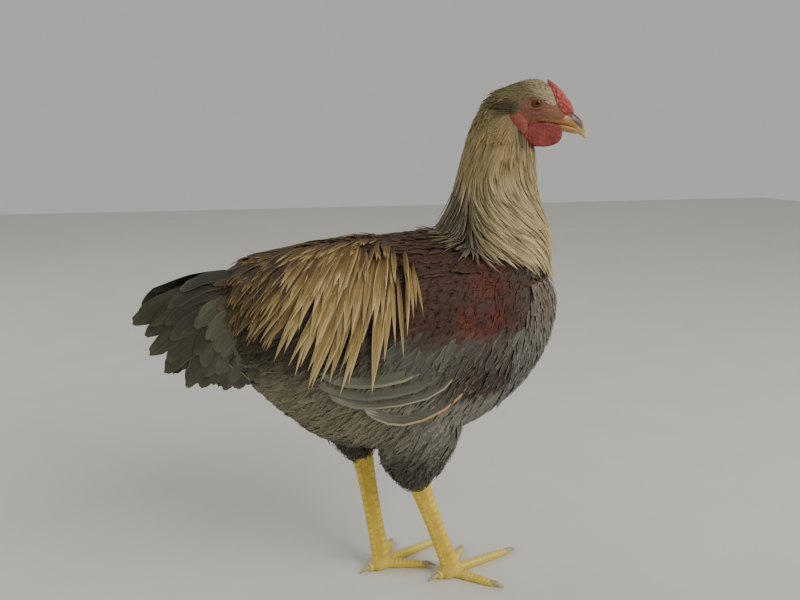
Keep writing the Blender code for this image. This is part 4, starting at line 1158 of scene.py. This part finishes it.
class Coat:
    """Feathers of one kind, gathered one by one and then made into one mesh."""

    def __init__(self, name, stations, shape, across=(-1, 0, 1), cup=0.16, ridge=0.0004,
                 *, ragged, seed):
        self.name, self.stations, self.shape = name, stations, shape
        self.across, self.cup, self.ridge = np.array(across, float), cup, ridge
        self.ragged, self.dice = ragged, np.random.default_rng(seed)
        self.rows = []

    def lay(self, path, width, lift, ground, trim, roll):
        """One feather: its path, its width, its rise at the root, middle and tip, and colours.
        Ground and trim are lists of colours from root to tip."""
        self.rows.append((path[0], path[1], width, lift, ground, trim, roll))

    def formed(self, points, normals, width, rises, roll):
        """The places round every vane at each of its stations, and how far across each one is."""
        s = np.array(self.stations)
        lift = np.array([np.interp(s, (0, 0.12, 0.5, 1), (-ROOT_DEPTH, *rise)) for rise in rises])
        ahead = np.gradient(points, axis=1)
        ahead /= np.linalg.norm(ahead, axis=2)[:, :, None] + 1e-12
        side = np.cross(normals, ahead)
        side /= np.linalg.norm(side, axis=2)[:, :, None] + 1e-12
        side, normals = (side * np.cos(roll) + normals * np.sin(roll),
                         normals * np.cos(roll) - side * np.sin(roll))
        middle = points + normals * lift[:, :, None]

        top = self.across
        ring = np.concatenate([top, top[-2:0:-1]])
        under = np.concatenate([np.zeros(len(top)), np.ones(len(top) - 2)])
        half = width / 2 * self.shape(s)[None]
        left, right = (half * (1 + self.ragged * self.dice.uniform(-1, 1, half.shape))
                       for _ in range(2))
        reach = np.where(ring < 0, left[..., None], right[..., None]) * ring
        # The barbs of the outer edge reach a little on or hang back.
        torn = self.dice.uniform(-1, 1, reach.shape) * self.ragged * abs(ring) * width[..., None]
        torn *= (0.4 + 0.6 * s**4)[None, :, None]
        swell = (1 - ring**2)[None, None]
        rise = self.ridge * swell - VANE_THICK * under * swell - self.cup * half[:, :, None] * ring**2
        places = (middle[:, :, None] + side[:, :, None] * reach[..., None]
                  + ahead[:, :, None] * torn[..., None] + normals[:, :, None] * rise[..., None])
        return places, ring

    def made(self, material, slot):
        """The finished piece: all vanes in one mesh, each of them closed at both ends."""
        points, normals, width, rises, grounds, trims, roll = zip(*self.rows)
        points = np.array([[tuple(p) for p in path] for path in points])
        normals = np.array([[tuple(n) for n in path] for path in normals])
        width, roll = np.array(width)[:, None], np.array(roll)[:, None, None]
        places, ring = self.formed(points, normals, width, rises, roll)
        count, steps, around = places.shape[:3]
        total = steps * around
        faces = []
        for k in range(steps - 1):
            for r in range(around):
                a, b = k * around + r, k * around + (r + 1) % around
                faces.append((a, b, b + around, a + around))
        faces += [tuple(range(around))[::-1], tuple(range(total - around, total))]
        every = [tuple(i * total + c for c in face) for i in range(count) for face in faces]
        mesh = bpy.data.meshes.new(self.name)
        mesh.from_pydata(places.reshape(-1, 3), [], every)
        self.colour(mesh, ring, points[:, 0], {"plumage": grounds, "trim": trims})
        finished(thing_of(mesh, self.name, material), slot)
        mesh.set_sharp_from_angle(angle=math.radians(70))

    def colour(self, mesh, ring, roots, colours):
        """Gives each vane its colours, its own measure across and along, and its bake patch."""
        s = np.array(self.stations)
        count, steps, around = len(self.rows), len(s), len(ring)
        for name, vanes in colours.items():
            shades = np.empty((count, steps, 4))
            for i, stops in enumerate(vanes):
                at = np.linspace(0, 1, len(stops))
                for c, values in enumerate(np.array(stops).T):
                    shades[i, :, c] = np.interp(s, at, values)
            painted(mesh, name, np.repeat(shades[:, :, None], around, axis=2))
        vane = np.empty((count, steps, around, 3))
        vane[..., 0] = ring
        vane[..., 1] = s[None, :, None]
        vane[..., 2] = self.dice.uniform(0, 1, count)[:, None, None]
        painted(mesh, "vane", vane, "VECTOR")
        spots = unwrapped(roots)
        patch = np.empty((count, steps, around, 2))
        patch[..., 0] = spots[:, 0, None, None] + PATCH * ring / 2
        patch[..., 1] = spots[:, 1, None, None] + PATCH * (s[None, :, None] - 0.5)
        corners = np.empty(len(mesh.loops), np.int32)
        mesh.loops.foreach_get("vertex_index", corners)
        flat = mesh.uv_layers.new(name="OFBake")
        flat.data.foreach_set("uv", patch.reshape(-1, 2)[corners].astype(np.float32).ravel())


def plume_finish(name, rim, shaft, streak, gloss=0.55, barbs=16.0, mottle=0.34):
    """The finish of a feather: a rim in its trim colour, a shaft, and fine slanting barbs."""
    plume = Finish(name, gloss, Specular_IOR_Level=0.25)
    x, along, chance = plume.parts(plume.carried("vane", 1))
    across = x.size()
    slant = plume.joined((along - across * 0.10) * barbs, across * 1.6, chance * 90.0)
    barb = plume.grain(2.2, 4.0, slant)
    strand = plume.grain(1.0, 4.0, plume.joined(along * 1.1, x * 5.0, chance * 70.0 + 7.0))
    edge = across.most(along.between(0.62, 1.02)) + (strand - 0.5) * 0.5
    colour = plume.blend(edge.between(*rim), plume.carried("plumage"), plume.carried("trim"))
    quill = 1 - across.between(0.03, 0.13)
    fibre = strand.between(0.25, 0.75) * 0.65 + barb * 0.35
    colour = plume.shade(colour, (1 - streak * 0.5) + fibre * streak)
    colour = plume.shade(colour, (chance - 0.5) * mottle + 1.0)
    colour = plume.shade(colour, 1 - quill * shaft)
    plume.raised(barb * 0.5 + strand * 0.7 + quill, 0.0003, 0.5)
    return plume.done(colour)


def outline_point(u, v):
    """The body's outline with the folded wings, which the long feathers follow."""
    p = form_point(torso_rows, TORSO_POWER, u, v)
    if abs(p.y) > 0.01:
        p.y += math.copysign(wing_lift(p.x, p.z), p.y)
    return p


mantle = wrapped(outline_point, 72, 60)
mantle_tree = BVHTree.FromBMesh(mantle)
mantle.free()

# Where the small feathers grow: evenly scattered over the skin, closer where they are smaller.
# Many places are drawn by chance, and each one taken clears the others that are too near it.
SPACING = {"crown": 0.0013, "throat": 0.0017, "hackle": 0.0025, "back": 0.0036, "bow": 0.0029,
           "bar": 0.0036, "breast": 0.0037, "belly": 0.0043, "thigh": 0.0033, "flank": 0.0044,
           "rump": 0.0050}
DRAWS = 240000
dice = np.random.default_rng(11)
skin.data.calc_loop_triangles()
corner = np.array([tuple(t.vertices) for t in skin.data.loop_triangles])
spots = np.array([tuple(vert.co) for vert in skin.data.vertices])
a, b, c = spots[corner[:, 0]], spots[corner[:, 1]], spots[corner[:, 2]]
facing = np.cross(b - a, c - a)
area = np.linalg.norm(facing, axis=1)
facing /= area[:, None] + 1e-15
picked = dice.choice(len(area), DRAWS, p=area / area.sum())
s, t = np.sqrt(dice.random(DRAWS)), dice.random(DRAWS)
drawn = (a[picked] * (1 - s)[:, None] + b[picked] * (s * (1 - t))[:, None]
         + c[picked] * (s * t)[:, None])
near = KDTree(DRAWS)
for i, spot in enumerate(drawn):
    near.insert(spot, i)
near.balance()
taken = np.zeros(DRAWS, bool)
roots = {kind: [] for kind in SPACING}
for i in range(DRAWS):
    if taken[i]:
        continue
    spot = Vector(drawn[i])
    kind = region(spot, Vector(facing[picked[i]]))
    if kind not in roots:
        taken[i] = True
        continue
    for _, other, _ in near.find_range(spot, SPACING[kind]):
        taken[other] = True
    roots[kind].append(spot)

# Where along them the feathers have their rings of points, from root to tip, and then across.
SHORT = (0, 0.20, 0.42, 0.62, 0.80, 0.92, 1)
LANCE = (0, 0.15, 0.32, 0.50, 0.66, 0.80, 0.91, 1)
LONG = (0, 0.12, 0.26, 0.40, 0.54, 0.68, 0.80, 0.90, 0.96, 1)
FULL = (0, 0.10, 0.20, 0.31, 0.42, 0.53, 0.63, 0.72, 0.80, 0.87, 0.92, 0.96, 0.985, 1)
BROAD = (-1, -0.5, 0, 0.5, 1)


def side_of(p):
    return -1 if p.y < 0 else 1


def strew(coat, kinds, lie, size, slim, lift, loose=0.10, droop=0.0, deep=0.66):
    """Lays a feather at every root of some kinds, each turned and rolled a little by chance.
    Lie and size give its way and its length by its root, and slim is its width's share of that."""
    for kind in kinds:
        for p in roots[kind]:
            ground, trim = markings(kind, p)
            length = size(p) * (1 + dice.normal(0, 0.08))
            heading = lie(p).normalized() + Vector(dice.normal(0, loose, 3))
            path = walk(skin_tree, p, heading, length, coat.stations, droop)
            under_cape = soft_step(p.z, 0.312, 0.330) * soft_step(abs(p.x - 0.125), 0.040, 0.020)
            high = lift * (1 + dice.normal(0, 0.15)) * (1 - 0.65 * under_cape)
            # Each vane is painted darker at its root, to the share deep of its colour, as painted shade
            # under the feathers over it.
            coat.lay(path, length * slim, (high * 0.2, high * 0.55, high),
                     [ground * deep, ground, ground], [trim], dice.normal(0, 0.12))


# The breast: soft slate feathers with pale rims, plum-brown at its top, which turn from straight
# down in front to backwards at the sides.
def breast_lie(p):
    back_share = 1 - soft_step(p.x, 0.085, 0.165)
    return Vector((-0.25 - 0.75 * back_share, 0.0, -1.0 + 0.15 * back_share))


breast = Coat("feathers_breast", SHORT, soft_tip, ragged=0.22, seed=2)
strew(breast, ("breast",), breast_lie, lambda p: 0.0190 + 0.006 * (p.x < 0.12), slim=0.31,
      lift=0.0034, deep=0.78)
breast.made(plume_finish("breast_plume", (0.60, 1.05), shaft=-0.15, streak=0.65), "body_feather")


# The belly and the flanks: long ragged fluff in grey and buff, which streams backwards. It stands
# well off the skin and droops a little, and is shortest at the rear end.
def belly_lie(p):
    rear = below(p.x, 0.03, 0.09)
    return Vector((-1, 0, -0.75 + 0.30 * rear))


def belly_length(p):
    rear, last = below(p.x, 0.03, 0.09), below(p.x, -0.090, 0.030)
    return 0.026 + 0.014 * rear - 0.024 * last


belly = Coat("feathers_belly", SHORT, soft_tip, ragged=0.36, seed=3)
strew(belly, ("belly", "flank"), belly_lie, belly_length, slim=0.21, lift=0.0054, loose=0.16,
      droop=0.3, deep=0.84)
belly.made(plume_finish("belly_plume", (0.55, 1.1), shaft=0.05, streak=0.7, gloss=0.75),
           "body_feather")

# The thighs: short close dark grey feathers that end in a ragged edge above the shank. They
# point almost straight down, and are shortest at that edge.
THIGH_LIE = Vector((-0.35, 0, -1))
thighs = Coat("feathers_thighs", SHORT, soft_tip, ragged=0.26, seed=4)
strew(thighs, ("thigh",), lambda p: THIGH_LIE,
      lambda p: 0.024 - 0.010 * below(p.z, 0.150, 0.035), slim=0.24, lift=0.0030)
thighs.made(plume_finish("thigh_plume", (0.62, 1.1), shaft=-0.05, streak=0.65, gloss=0.75),
            "body_feather")

# Loose down over the belly, the flanks and the thighs: fine strands that soften their outline.
# Two stand at each feather's root, turned and raised by chance. The rear end has none.
DOWN = (0, 0.30, 0.60, 0.85, 1)
DOWN_REAR = -0.10
down = Coat("feathers_down", DOWN, pointed_tip, ridge=0.0001, ragged=0.1, seed=13)
for kind, reach in (("belly", 0.020), ("flank", 0.020), ("thigh", 0.013)):
    for p in roots[kind]:
        if p.x <= DOWN_REAR:
            continue
        ground, trim = markings(kind, p)
        lie = THIGH_LIE if kind == "thigh" else belly_lie(p)
        for _ in range(2):
            heading = lie.normalized() + Vector(dice.normal(0, 0.28, 3))
            length = reach * (1 + dice.normal(0, 0.2))
            path = walk(skin_tree, p + Vector(dice.normal(0, 0.0012, 3)), heading, length, DOWN, 0.4)
            rise = 0.0030 + 0.0034 * dice.random()
            down.lay(path, 0.0012, (rise * 0.5, rise * 0.9, rise), [ground * 0.85, ground, trim],
                     [trim], dice.normal(0, 0.3))
down.made(plume_finish("down_plume", (0.6, 1.1), shaft=0.0, streak=0.3, gloss=0.8), "body_feather")

# The back and the rump between the long feathers: dark vanes with golden brown rims. They point
# backwards and a little out to the sides, and those of the rump lie close under the tail's roots.
back = Coat("feathers_back", SHORT, soft_tip, ragged=0.16, seed=5)
strew(back, ("back",), lambda p: Vector((-1, 0.30 * side_of(p), -0.1)), lambda p: 0.022,
      slim=0.25, lift=0.0040)
strew(back, ("rump",), lambda p: Vector((-1, 0.1 * side_of(p), -0.2)), lambda p: 0.017,
      slim=0.40, lift=0.0016)
back.made(plume_finish("back_plume", (0.74, 1.05), shaft=0.1, streak=0.6), "body_feather")

# The shoulders: small close mahogany feathers, some lit up in orange red. Below them hang
# narrower grey ones with pale edges, over the roots of the wing's long feathers.
bow = Coat("feathers_bow", SHORT, soft_tip, ragged=0.36, seed=6)
strew(bow, ("bow",), lambda p: Vector((-0.80, 0, -0.62)),
      lambda p: 0.0150 + 0.007 * below(p.z, 0.280, 0.012), slim=0.29, lift=0.0017,
      loose=0.24, deep=0.85)
strew(bow, ("bar",), lambda p: Vector((-0.70, 0, -0.70)), lambda p: 0.0255, slim=0.26,
      lift=0.0042, loose=0.14)
bow.made(plume_finish("bow_plume", (0.60, 1.1), shaft=0.0, streak=0.7, gloss=0.62), "wing_feather")


# The head's feathers: fine short ones that start round the face and lie backwards, with a dark
# tuft behind the ear.
def crown_lie(p):
    h = head_back @ p
    down = 0.28 + 0.9 * below(h.z, 0.450, 0.012)
    back_share = 1 - soft_step(h.x, 0.004, 0.010) * below(h.z, 0.436, 0.004)
    return head_place.to_3x3() @ Vector((-back_share, 0.15 * side_of(h), -down))


crown = Coat("feathers_head", SHORT, pointed_tip, ridge=0.0002, ragged=0.12, seed=7)
for kind in ("crown", "throat"):
    for p in roots[kind]:
        ground, trim = markings(kind, p)
        h = head_back @ p
        from_ear = math.hypot((h.x - 0.0040) / 0.0085, (h.z - 0.4535) / 0.0075)
        tuft = 0.85 - 0.85 * soft_step(from_ear, 0.5, 1.3)
        back_share = max(below(h.x, 0.018, 0.030), below(p.z, 0.446, 0.014))
        brow = soft_step(h.x, 0.022, 0.032) * soft_step(h.z, 0.466, 0.472)
        length = 0.0070 + 0.0090 * back_share * (1 - 0.4 * tuft)
        path = walk(skin_tree, p, crown_lie(p) + Vector(dice.normal(0, 0.10, 3)), length, SHORT)
        ground, trim = mixed(ground, TUFT, tuft), mixed(trim, TUFT * 1.2, tuft)
        high = 0.0007 + 0.0010 * back_share + 0.0006 * brow
        # Each vane is painted darker at its root, as painted shade under the feathers over it.
        crown.lay(path, 0.0018 + 0.0008 * back_share, (0.0001, high * 0.5, high),
                  [ground * 0.85, ground, mixed(ground, trim, 0.5)], [trim], dice.normal(0, 0.12))
        if kind == "crown" and h.x < 0.006 and dice.random() < 0.3:
            path = walk(skin_tree, p, crown_lie(p) + Vector(dice.normal(0, 0.3, 3)), 0.018, SHORT)
            crown.lay(path, 0.0011, (0.0006, 0.0018, 0.0036), [ground, trim], [trim], dice.normal(0, 0.3))
crown.made(plume_finish("head_plume", (0.5, 1.0), shaft=0.10, streak=0.35, gloss=0.65, barbs=9.0,
                        mottle=0.2), "hackle_feather")

# The hackle: long narrow straw feathers down the neck. They sweep forwards and down over its
# side, and back over the shoulders behind, where they are darker with pale edges.
def hackle_lie(p):
    """The way the neck's feathers point at a place of the neck."""
    bent = below(p.z, 0.415, 0.050)
    fore = (p.x - 0.123) / 0.045
    swept = 1.05 - 0.45 * soft_step(fore, 0.2, 0.9) - 1.75 * soft_step(-fore, 0.60, 0.95)
    return Vector((mixed(-0.30 + 0.15 * fore, swept, bent), 0, -1)).normalized()


hackle = Coat("feathers_hackle", LANCE, pointed_tip, ridge=0.0004, ragged=0.08, seed=8)
for p in roots["hackle"]:
    ground, trim = markings("hackle", p)
    low = below(p.z, 0.455, 0.065)
    front = soft_step(skin_tree.find_nearest(p)[1].x, 0.35, 1.0)
    heading = hackle_lie(p) + Vector(dice.normal(0, 0.07, 3))
    length = (0.014 + 0.045 * low) * (1 + dice.normal(0, 0.08))
    rear = below(p.x, 0.125, 0.045)
    end = 0.294 + 0.036 * front + 0.030 * rear
    length = min(length, max(p.z - end, 0.012) * (1.15 + 0.25 * rear) * (1 + dice.normal(0, 0.10)))
    path = walk(skin_tree, p, heading, length, LANCE, 0.0, hackle_lie)
    end_ground, end_trim = markings("hackle", path[0][-1])
    lift = (0.0018 + 0.0050 * low**2 * (1 - 0.6 * front)) * (1 + dice.normal(0, 0.18))
    # The vane is painted darker towards its root, most on the lower neck, as painted shade under the
    # feathers over it.
    deep = ground * (0.80 - 0.30 * low)
    hackle.lay(path, 0.0026 + 0.0012 * low, (0.0004, lift * 0.6, lift),
               [deep, ground * 0.80, end_ground * 0.90, mixed(end_ground, end_trim, 0.5), end_trim],
               [mixed(ground, trim, 0.4), mixed(end_ground, end_trim, 0.7), end_trim],
               dice.normal(0, 0.16))
hackle.made(plume_finish("hackle_plume", (0.46, 1.0), shaft=0.25, streak=0.75, gloss=0.6, barbs=22.0,
                         mottle=0.55), "hackle_feather")

# The folded wings: long broad grey vanes that curve down and back along the wing's lower edge,
# each lying over the one below. The lowest has an orange edge, and the upper ones have cream
# edges that fade into grey.
FLIGHT_GREY, FLIGHT_DARK = tone(94, 92, 80), tone(64, 62, 54)
CREAM, AMBER, TIP_PALE = tone(168, 158, 132), tone(196, 158, 104), tone(150, 148, 132)
# The middle lines of the lowest and the highest of these feathers, as x and z.
LOW_LINE = np.array([(0.080, 0.240), (0.066, 0.222), (0.050, 0.2085), (0.026, 0.2000),
                     (0.006, 0.2005), (-0.0165, 0.2085)])
HIGH_LINE = np.array([(0.034, 0.262), (0.020, 0.256), (0.004, 0.251), (-0.014, 0.248),
                      (-0.030, 0.247), (-0.046, 0.248)])
# Where each lies from the lowest to the highest, and how far the upper edges fade from root to tip.
FLIGHT_SHARES = (0.0, 0.36, 0.58, 0.82)
EDGE_FADES = ((0.0, 0.0, 0.2, 0.7, 0.9), (0.9, 0.9, 0.9), (0.3, 0.3, 0.8, 0.9))
edges = [[AMBER, AMBER, AMBER, CREAM, TIP_PALE]]
edges += [[mixed(CREAM, SLATE, fade) for fade in fades] for fades in EDGE_FADES]
flight = Coat("feathers_wing", LONG, rounded_tip, BROAD, cup=0.06, ridge=0.0008, ragged=0.03, seed=9)
for side in (-1, 1):
    for i, share in enumerate(FLIGHT_SHARES):
        line = LOW_LINE * (1 - share) + HIGH_LINE * share
        line[3:, 0] -= 0.020 * math.sin(math.pi * share) * np.array((0.4, 0.7, 1.0))
        points = []
        for s in LONG:
            x, z = smooth_row(line, s * (len(line) - 1))
            hit = skin_tree.ray_cast(Vector((x, side * 0.2, z)), Vector((0, -side, 0)))[0]
            out = max(abs(hit.y) if hit else 0.0, 0.0665)
            points.append(Vector((x, side * out, z)))
        dark = mixed(FLIGHT_DARK, FLIGHT_GREY, 0.3 * dice.random())
        flight.lay((points, [Vector((0, side, 0.1))] * len(points)), 0.0215,
                   (0.0002, 0.0014 + 0.0007 * i, 0.0026 + 0.0007 * i),
                   [dark, FLIGHT_GREY, FLIGHT_GREY, mixed(FLIGHT_GREY, TIP_PALE, 0.4)], edges[i],
                   -side * 0.10)
flight.made(plume_finish("flight_plume", (0.76, 0.90), shaft=0.30, streak=0.40, gloss=0.5,
                         barbs=40.0), "wing_feather")

# The saddle: long pointed golden feathers in a curtain of four tiers over the wings and the rump.
# Front ones hang nearly straight down, rear ones are swept back and darker, and the hindmost are
# broader dark ones with thin straw rims.
SADDLE_REAR, RUMP_SHARE = -0.088, 0.32
# How far out the roots are, how many, length, lift, how brown, and how far forward they grow
SADDLE_TIERS = (
    (0.053, 60, 0.096, 0.0034, 0.10, 0.120),
    (0.037, 56, 0.078, 0.0042, 0.40, 0.116),
    (0.024, 50, 0.058, 0.0042, 0.85, 0.102),
    (0.010, 50, 0.044, 0.0026, 1.15, 0.096),
)
saddle, rump = (
    Coat(name, LONG, pointed_tip, BROAD, cup=0.10, ridge=0.0006, ragged=0.05, seed=seed)
    for name, seed in (("feathers_saddle", 10), ("feathers_rump", 14))
)
for out, count, reach, lift, brown, row in SADDLE_TIERS:
    for side in (-1, 1):
        for i in range(count):
            s = min(max((i + 0.5 + dice.normal(0, 0.35)) / count, 0.0), 1.0)
            x = SADDLE_REAR + row * s + dice.normal(0, 0.003)
            sweep = math.radians(68 - 60 * s**0.9 + 22 * (out < 0.015) + dice.normal(0, 4))
            heading = Vector((-math.sin(sweep), side * math.cos(sweep), -0.1))
            front = soft_step(1 - s, 0.02, 0.26)
            length = reach * (0.46 + 0.54 * front) * (0.56 + 0.44 * min(1.0, s / 0.60))
            length *= 1 + dice.normal(0, 0.09)
            wide = out + dice.normal(0, 0.0030)
            root = Vector((x, side * wide * (0.60 + 0.40 * min(1, 1.6 * s)), 0.36))
            root.z = mantle_tree.ray_cast(root, Vector((0, 0, -1)))[0].z
            path = walk(mantle_tree, root, heading, length, LONG, 0.35 * s)
            dun = brown + 0.7 * (1 - front) * (out < 0.05) + 1.3 * (1 - soft_step(s, 0.12, 0.42))
            brown_gold = mixed(SADDLE_GOLD, SADDLE_ROOT, dun * (0.6 + 0.7 * dice.random()))
            gold = mixed(brown_gold, tone(80, 60, 38), 0.6 * (dun - 1))
            # The rear is in shade, and here and there a darker one lies among the others.
            shade = below(s, 0.52, 0.38) * (0.75 + 0.25 * dice.random())
            shade = max(shade, 0.6 * (dice.random() < 0.14))
            gold = mixed(gold, tone(66, 50, 33), 0.85 * shade)
            tip = mixed(SADDLE_TIP, SADDLE_GOLD, 0.45 * dice.random() + 0.45 * brown)
            tip = mixed(tip, tone(122, 98, 60), 0.75 * shade)
            dark = SADDLE_ROOT * (0.85 - 0.45 * min(dun, 1))
            slim = 0.45 + 0.55 * front
            rise = lift * (1 + dice.normal(0, 0.12))
            # The first colour of each vane, at its root, is painted darker still, as painted shade under
            # the feathers over it.
            if s + dice.normal(0, 0.05) < RUMP_SHARE:
                umber, straw = tone(64, 49, 33), mixed(tip, tone(158, 132, 84), 0.6)
                coat, slim = rump, 1.35 * slim
                vane = [umber * 0.6, umber, umber, umber * 1.1, mixed(umber, straw, 0.45)]
                rim = [umber, straw, straw, straw]
            else:
                coat = saddle
                vane = [dark * 0.5, dark, mixed(dark, gold, 0.6), gold * 0.92, gold,
                        mixed(gold, tip, 0.6), tip]
                rim = [dark, mixed(gold, tip, 0.4), mixed(gold, tip, 0.8), tip]
            coat.lay(path, (0.0062 + 0.0026 * dice.random()) * slim, (rise * 0.6, rise, rise + 0.0022),
                     vane, rim, dice.normal(0, 0.22))
rump.made(plume_finish("rump_plume", (0.80, 1.0), shaft=0.30, streak=0.65, gloss=0.6, barbs=36.0),
          "tail_feather")
saddle.made(plume_finish("saddle_plume", (0.62, 1.0), shaft=0.30, streak=0.75, gloss=0.6, barbs=36.0),
            "tail_feather")

# The tail: broad drooping grey vanes on both sides over dark inner ones, with black sickles that
# arch over them and dark coverts over their roots. Each is laid on a curve, in fans on each side.
TAIL_BLACK, TAIL_GREY, TAIL_GREEN = tone(50, 47, 38), tone(88, 84, 69), tone(90, 91, 77)
tail = Coat("feathers_tail", FULL, rounded_tip, (-1, -0.8, -0.4, 0, 0.4, 0.8, 1), cup=0.08,
            ridge=0.0008, ragged=0.09, seed=12)


def tail_side(x, z):
    """How far from the middle the tail's feathers lie at x and z."""
    back_share = min(max((-0.0935 - x) / 0.125, 0.0), 1.0)
    half = 0.0060 + 0.0245 * (1 - back_share) ** 1.2
    closed = 0.85 if z > 0.272 else 0.45
    return half * (1 - closed * min(abs(z - 0.272) / 0.048, 1.0) ** 2)


def lay_fan(count, root_low, root_high, angles, lengths, width, lift, sag, colours, spread=1.0):
    """Roots from low to high, with angles and lengths for the lowest, middle and highest."""
    rows = list(zip(angles, lengths))
    for side in (-1, 1):
        for i in range(count):
            s = 2 * i / (count - 1)
            angle, length = smooth_row(rows, s)
            length *= 1 + dice.normal(0, 0.05)
            angle = math.radians(angle + dice.normal(0, 3.5))
            x, z = (low + (high - low) * s / 2 for low, high in zip(root_low, root_high))
            place = Vector((x + dice.normal(0, 0.002), 0, z))
            points, outward = [], []
            for start, end in zip((0, *FULL), FULL):
                lean = angle + sag / 2 - sag * end
                place = place + Vector((-math.cos(lean), 0, math.sin(lean))) * length * (end - start)
                out = spread * tail_side(place.x, place.z)
                points.append(Vector((place.x, side * out, place.z)))
                outward.append(Vector((0, side, 1.6 * soft_step(place.z, 0.280, 0.325))).normalized())
            dark = mixed(colours[0], colours[1], s / 2) * (1 + 0.11 * dice.normal())
            pale = mixed(dark, tone(112, 108, 90), 0.35)
            tail.lay((points, outward), width * (1 + 0.12 * dice.normal()),
                     (lift, lift + 0.0006, lift + 0.0014),
                     [dark * 0.7, dark, dark, mixed(dark, pale, 0.3)], [dark, pale],
                     -side * 0.12 + dice.normal(0, 0.06))


# The dark inner feathers, which close the tail between its two sides.
for spread in (0.0, 0.4, 0.7):
    lay_fan(9, (-0.098, 0.256), (-0.094, 0.308), (-70, -44, -14), (0.038, 0.074, 0.088), 0.0200,
            0.0000, 0.60, (TAIL_BLACK, TAIL_BLACK), spread)
# The outer vanes, the sickles, and three rows of coverts: how many, lowest and highest root,
# angles, lengths, width, lift, sag and colours.
for fan in (
    (13, (-0.098, 0.256), (-0.104, 0.308), (-74, -45, -12), (0.040, 0.082, 0.094), 0.0210,
     0.0000, 0.60, (TAIL_GREY, TAIL_BLACK)),
    (4, (-0.106, 0.300), (-0.100, 0.309), (-16, -13, -8), (0.088, 0.080, 0.066), 0.0130,
     0.0014, 1.00, (TAIL_BLACK, TAIL_BLACK)),
    (12, (-0.094, 0.258), (-0.100, 0.304), (-84, -50, -18), (0.036, 0.066, 0.074), 0.0180,
     0.0016, 0.75, (TAIL_GREEN, TAIL_BLACK)),
    (12, (-0.088, 0.260), (-0.096, 0.302), (-90, -54, -22), (0.030, 0.048, 0.054), 0.0150,
     0.0028, 0.60, (TAIL_GREEN, TAIL_GREY)),
    (10, (-0.082, 0.268), (-0.088, 0.308), (-84, -48, -14), (0.030, 0.036, 0.044), 0.0110,
     0.0036, 0.40, (TAIL_GREY, tone(74, 58, 40))),
):
    lay_fan(*fan)
tail.made(plume_finish("tail_plume", (0.80, 1.05), shaft=0.12, streak=0.60, gloss=0.5, barbs=40.0),
          "tail_feather")
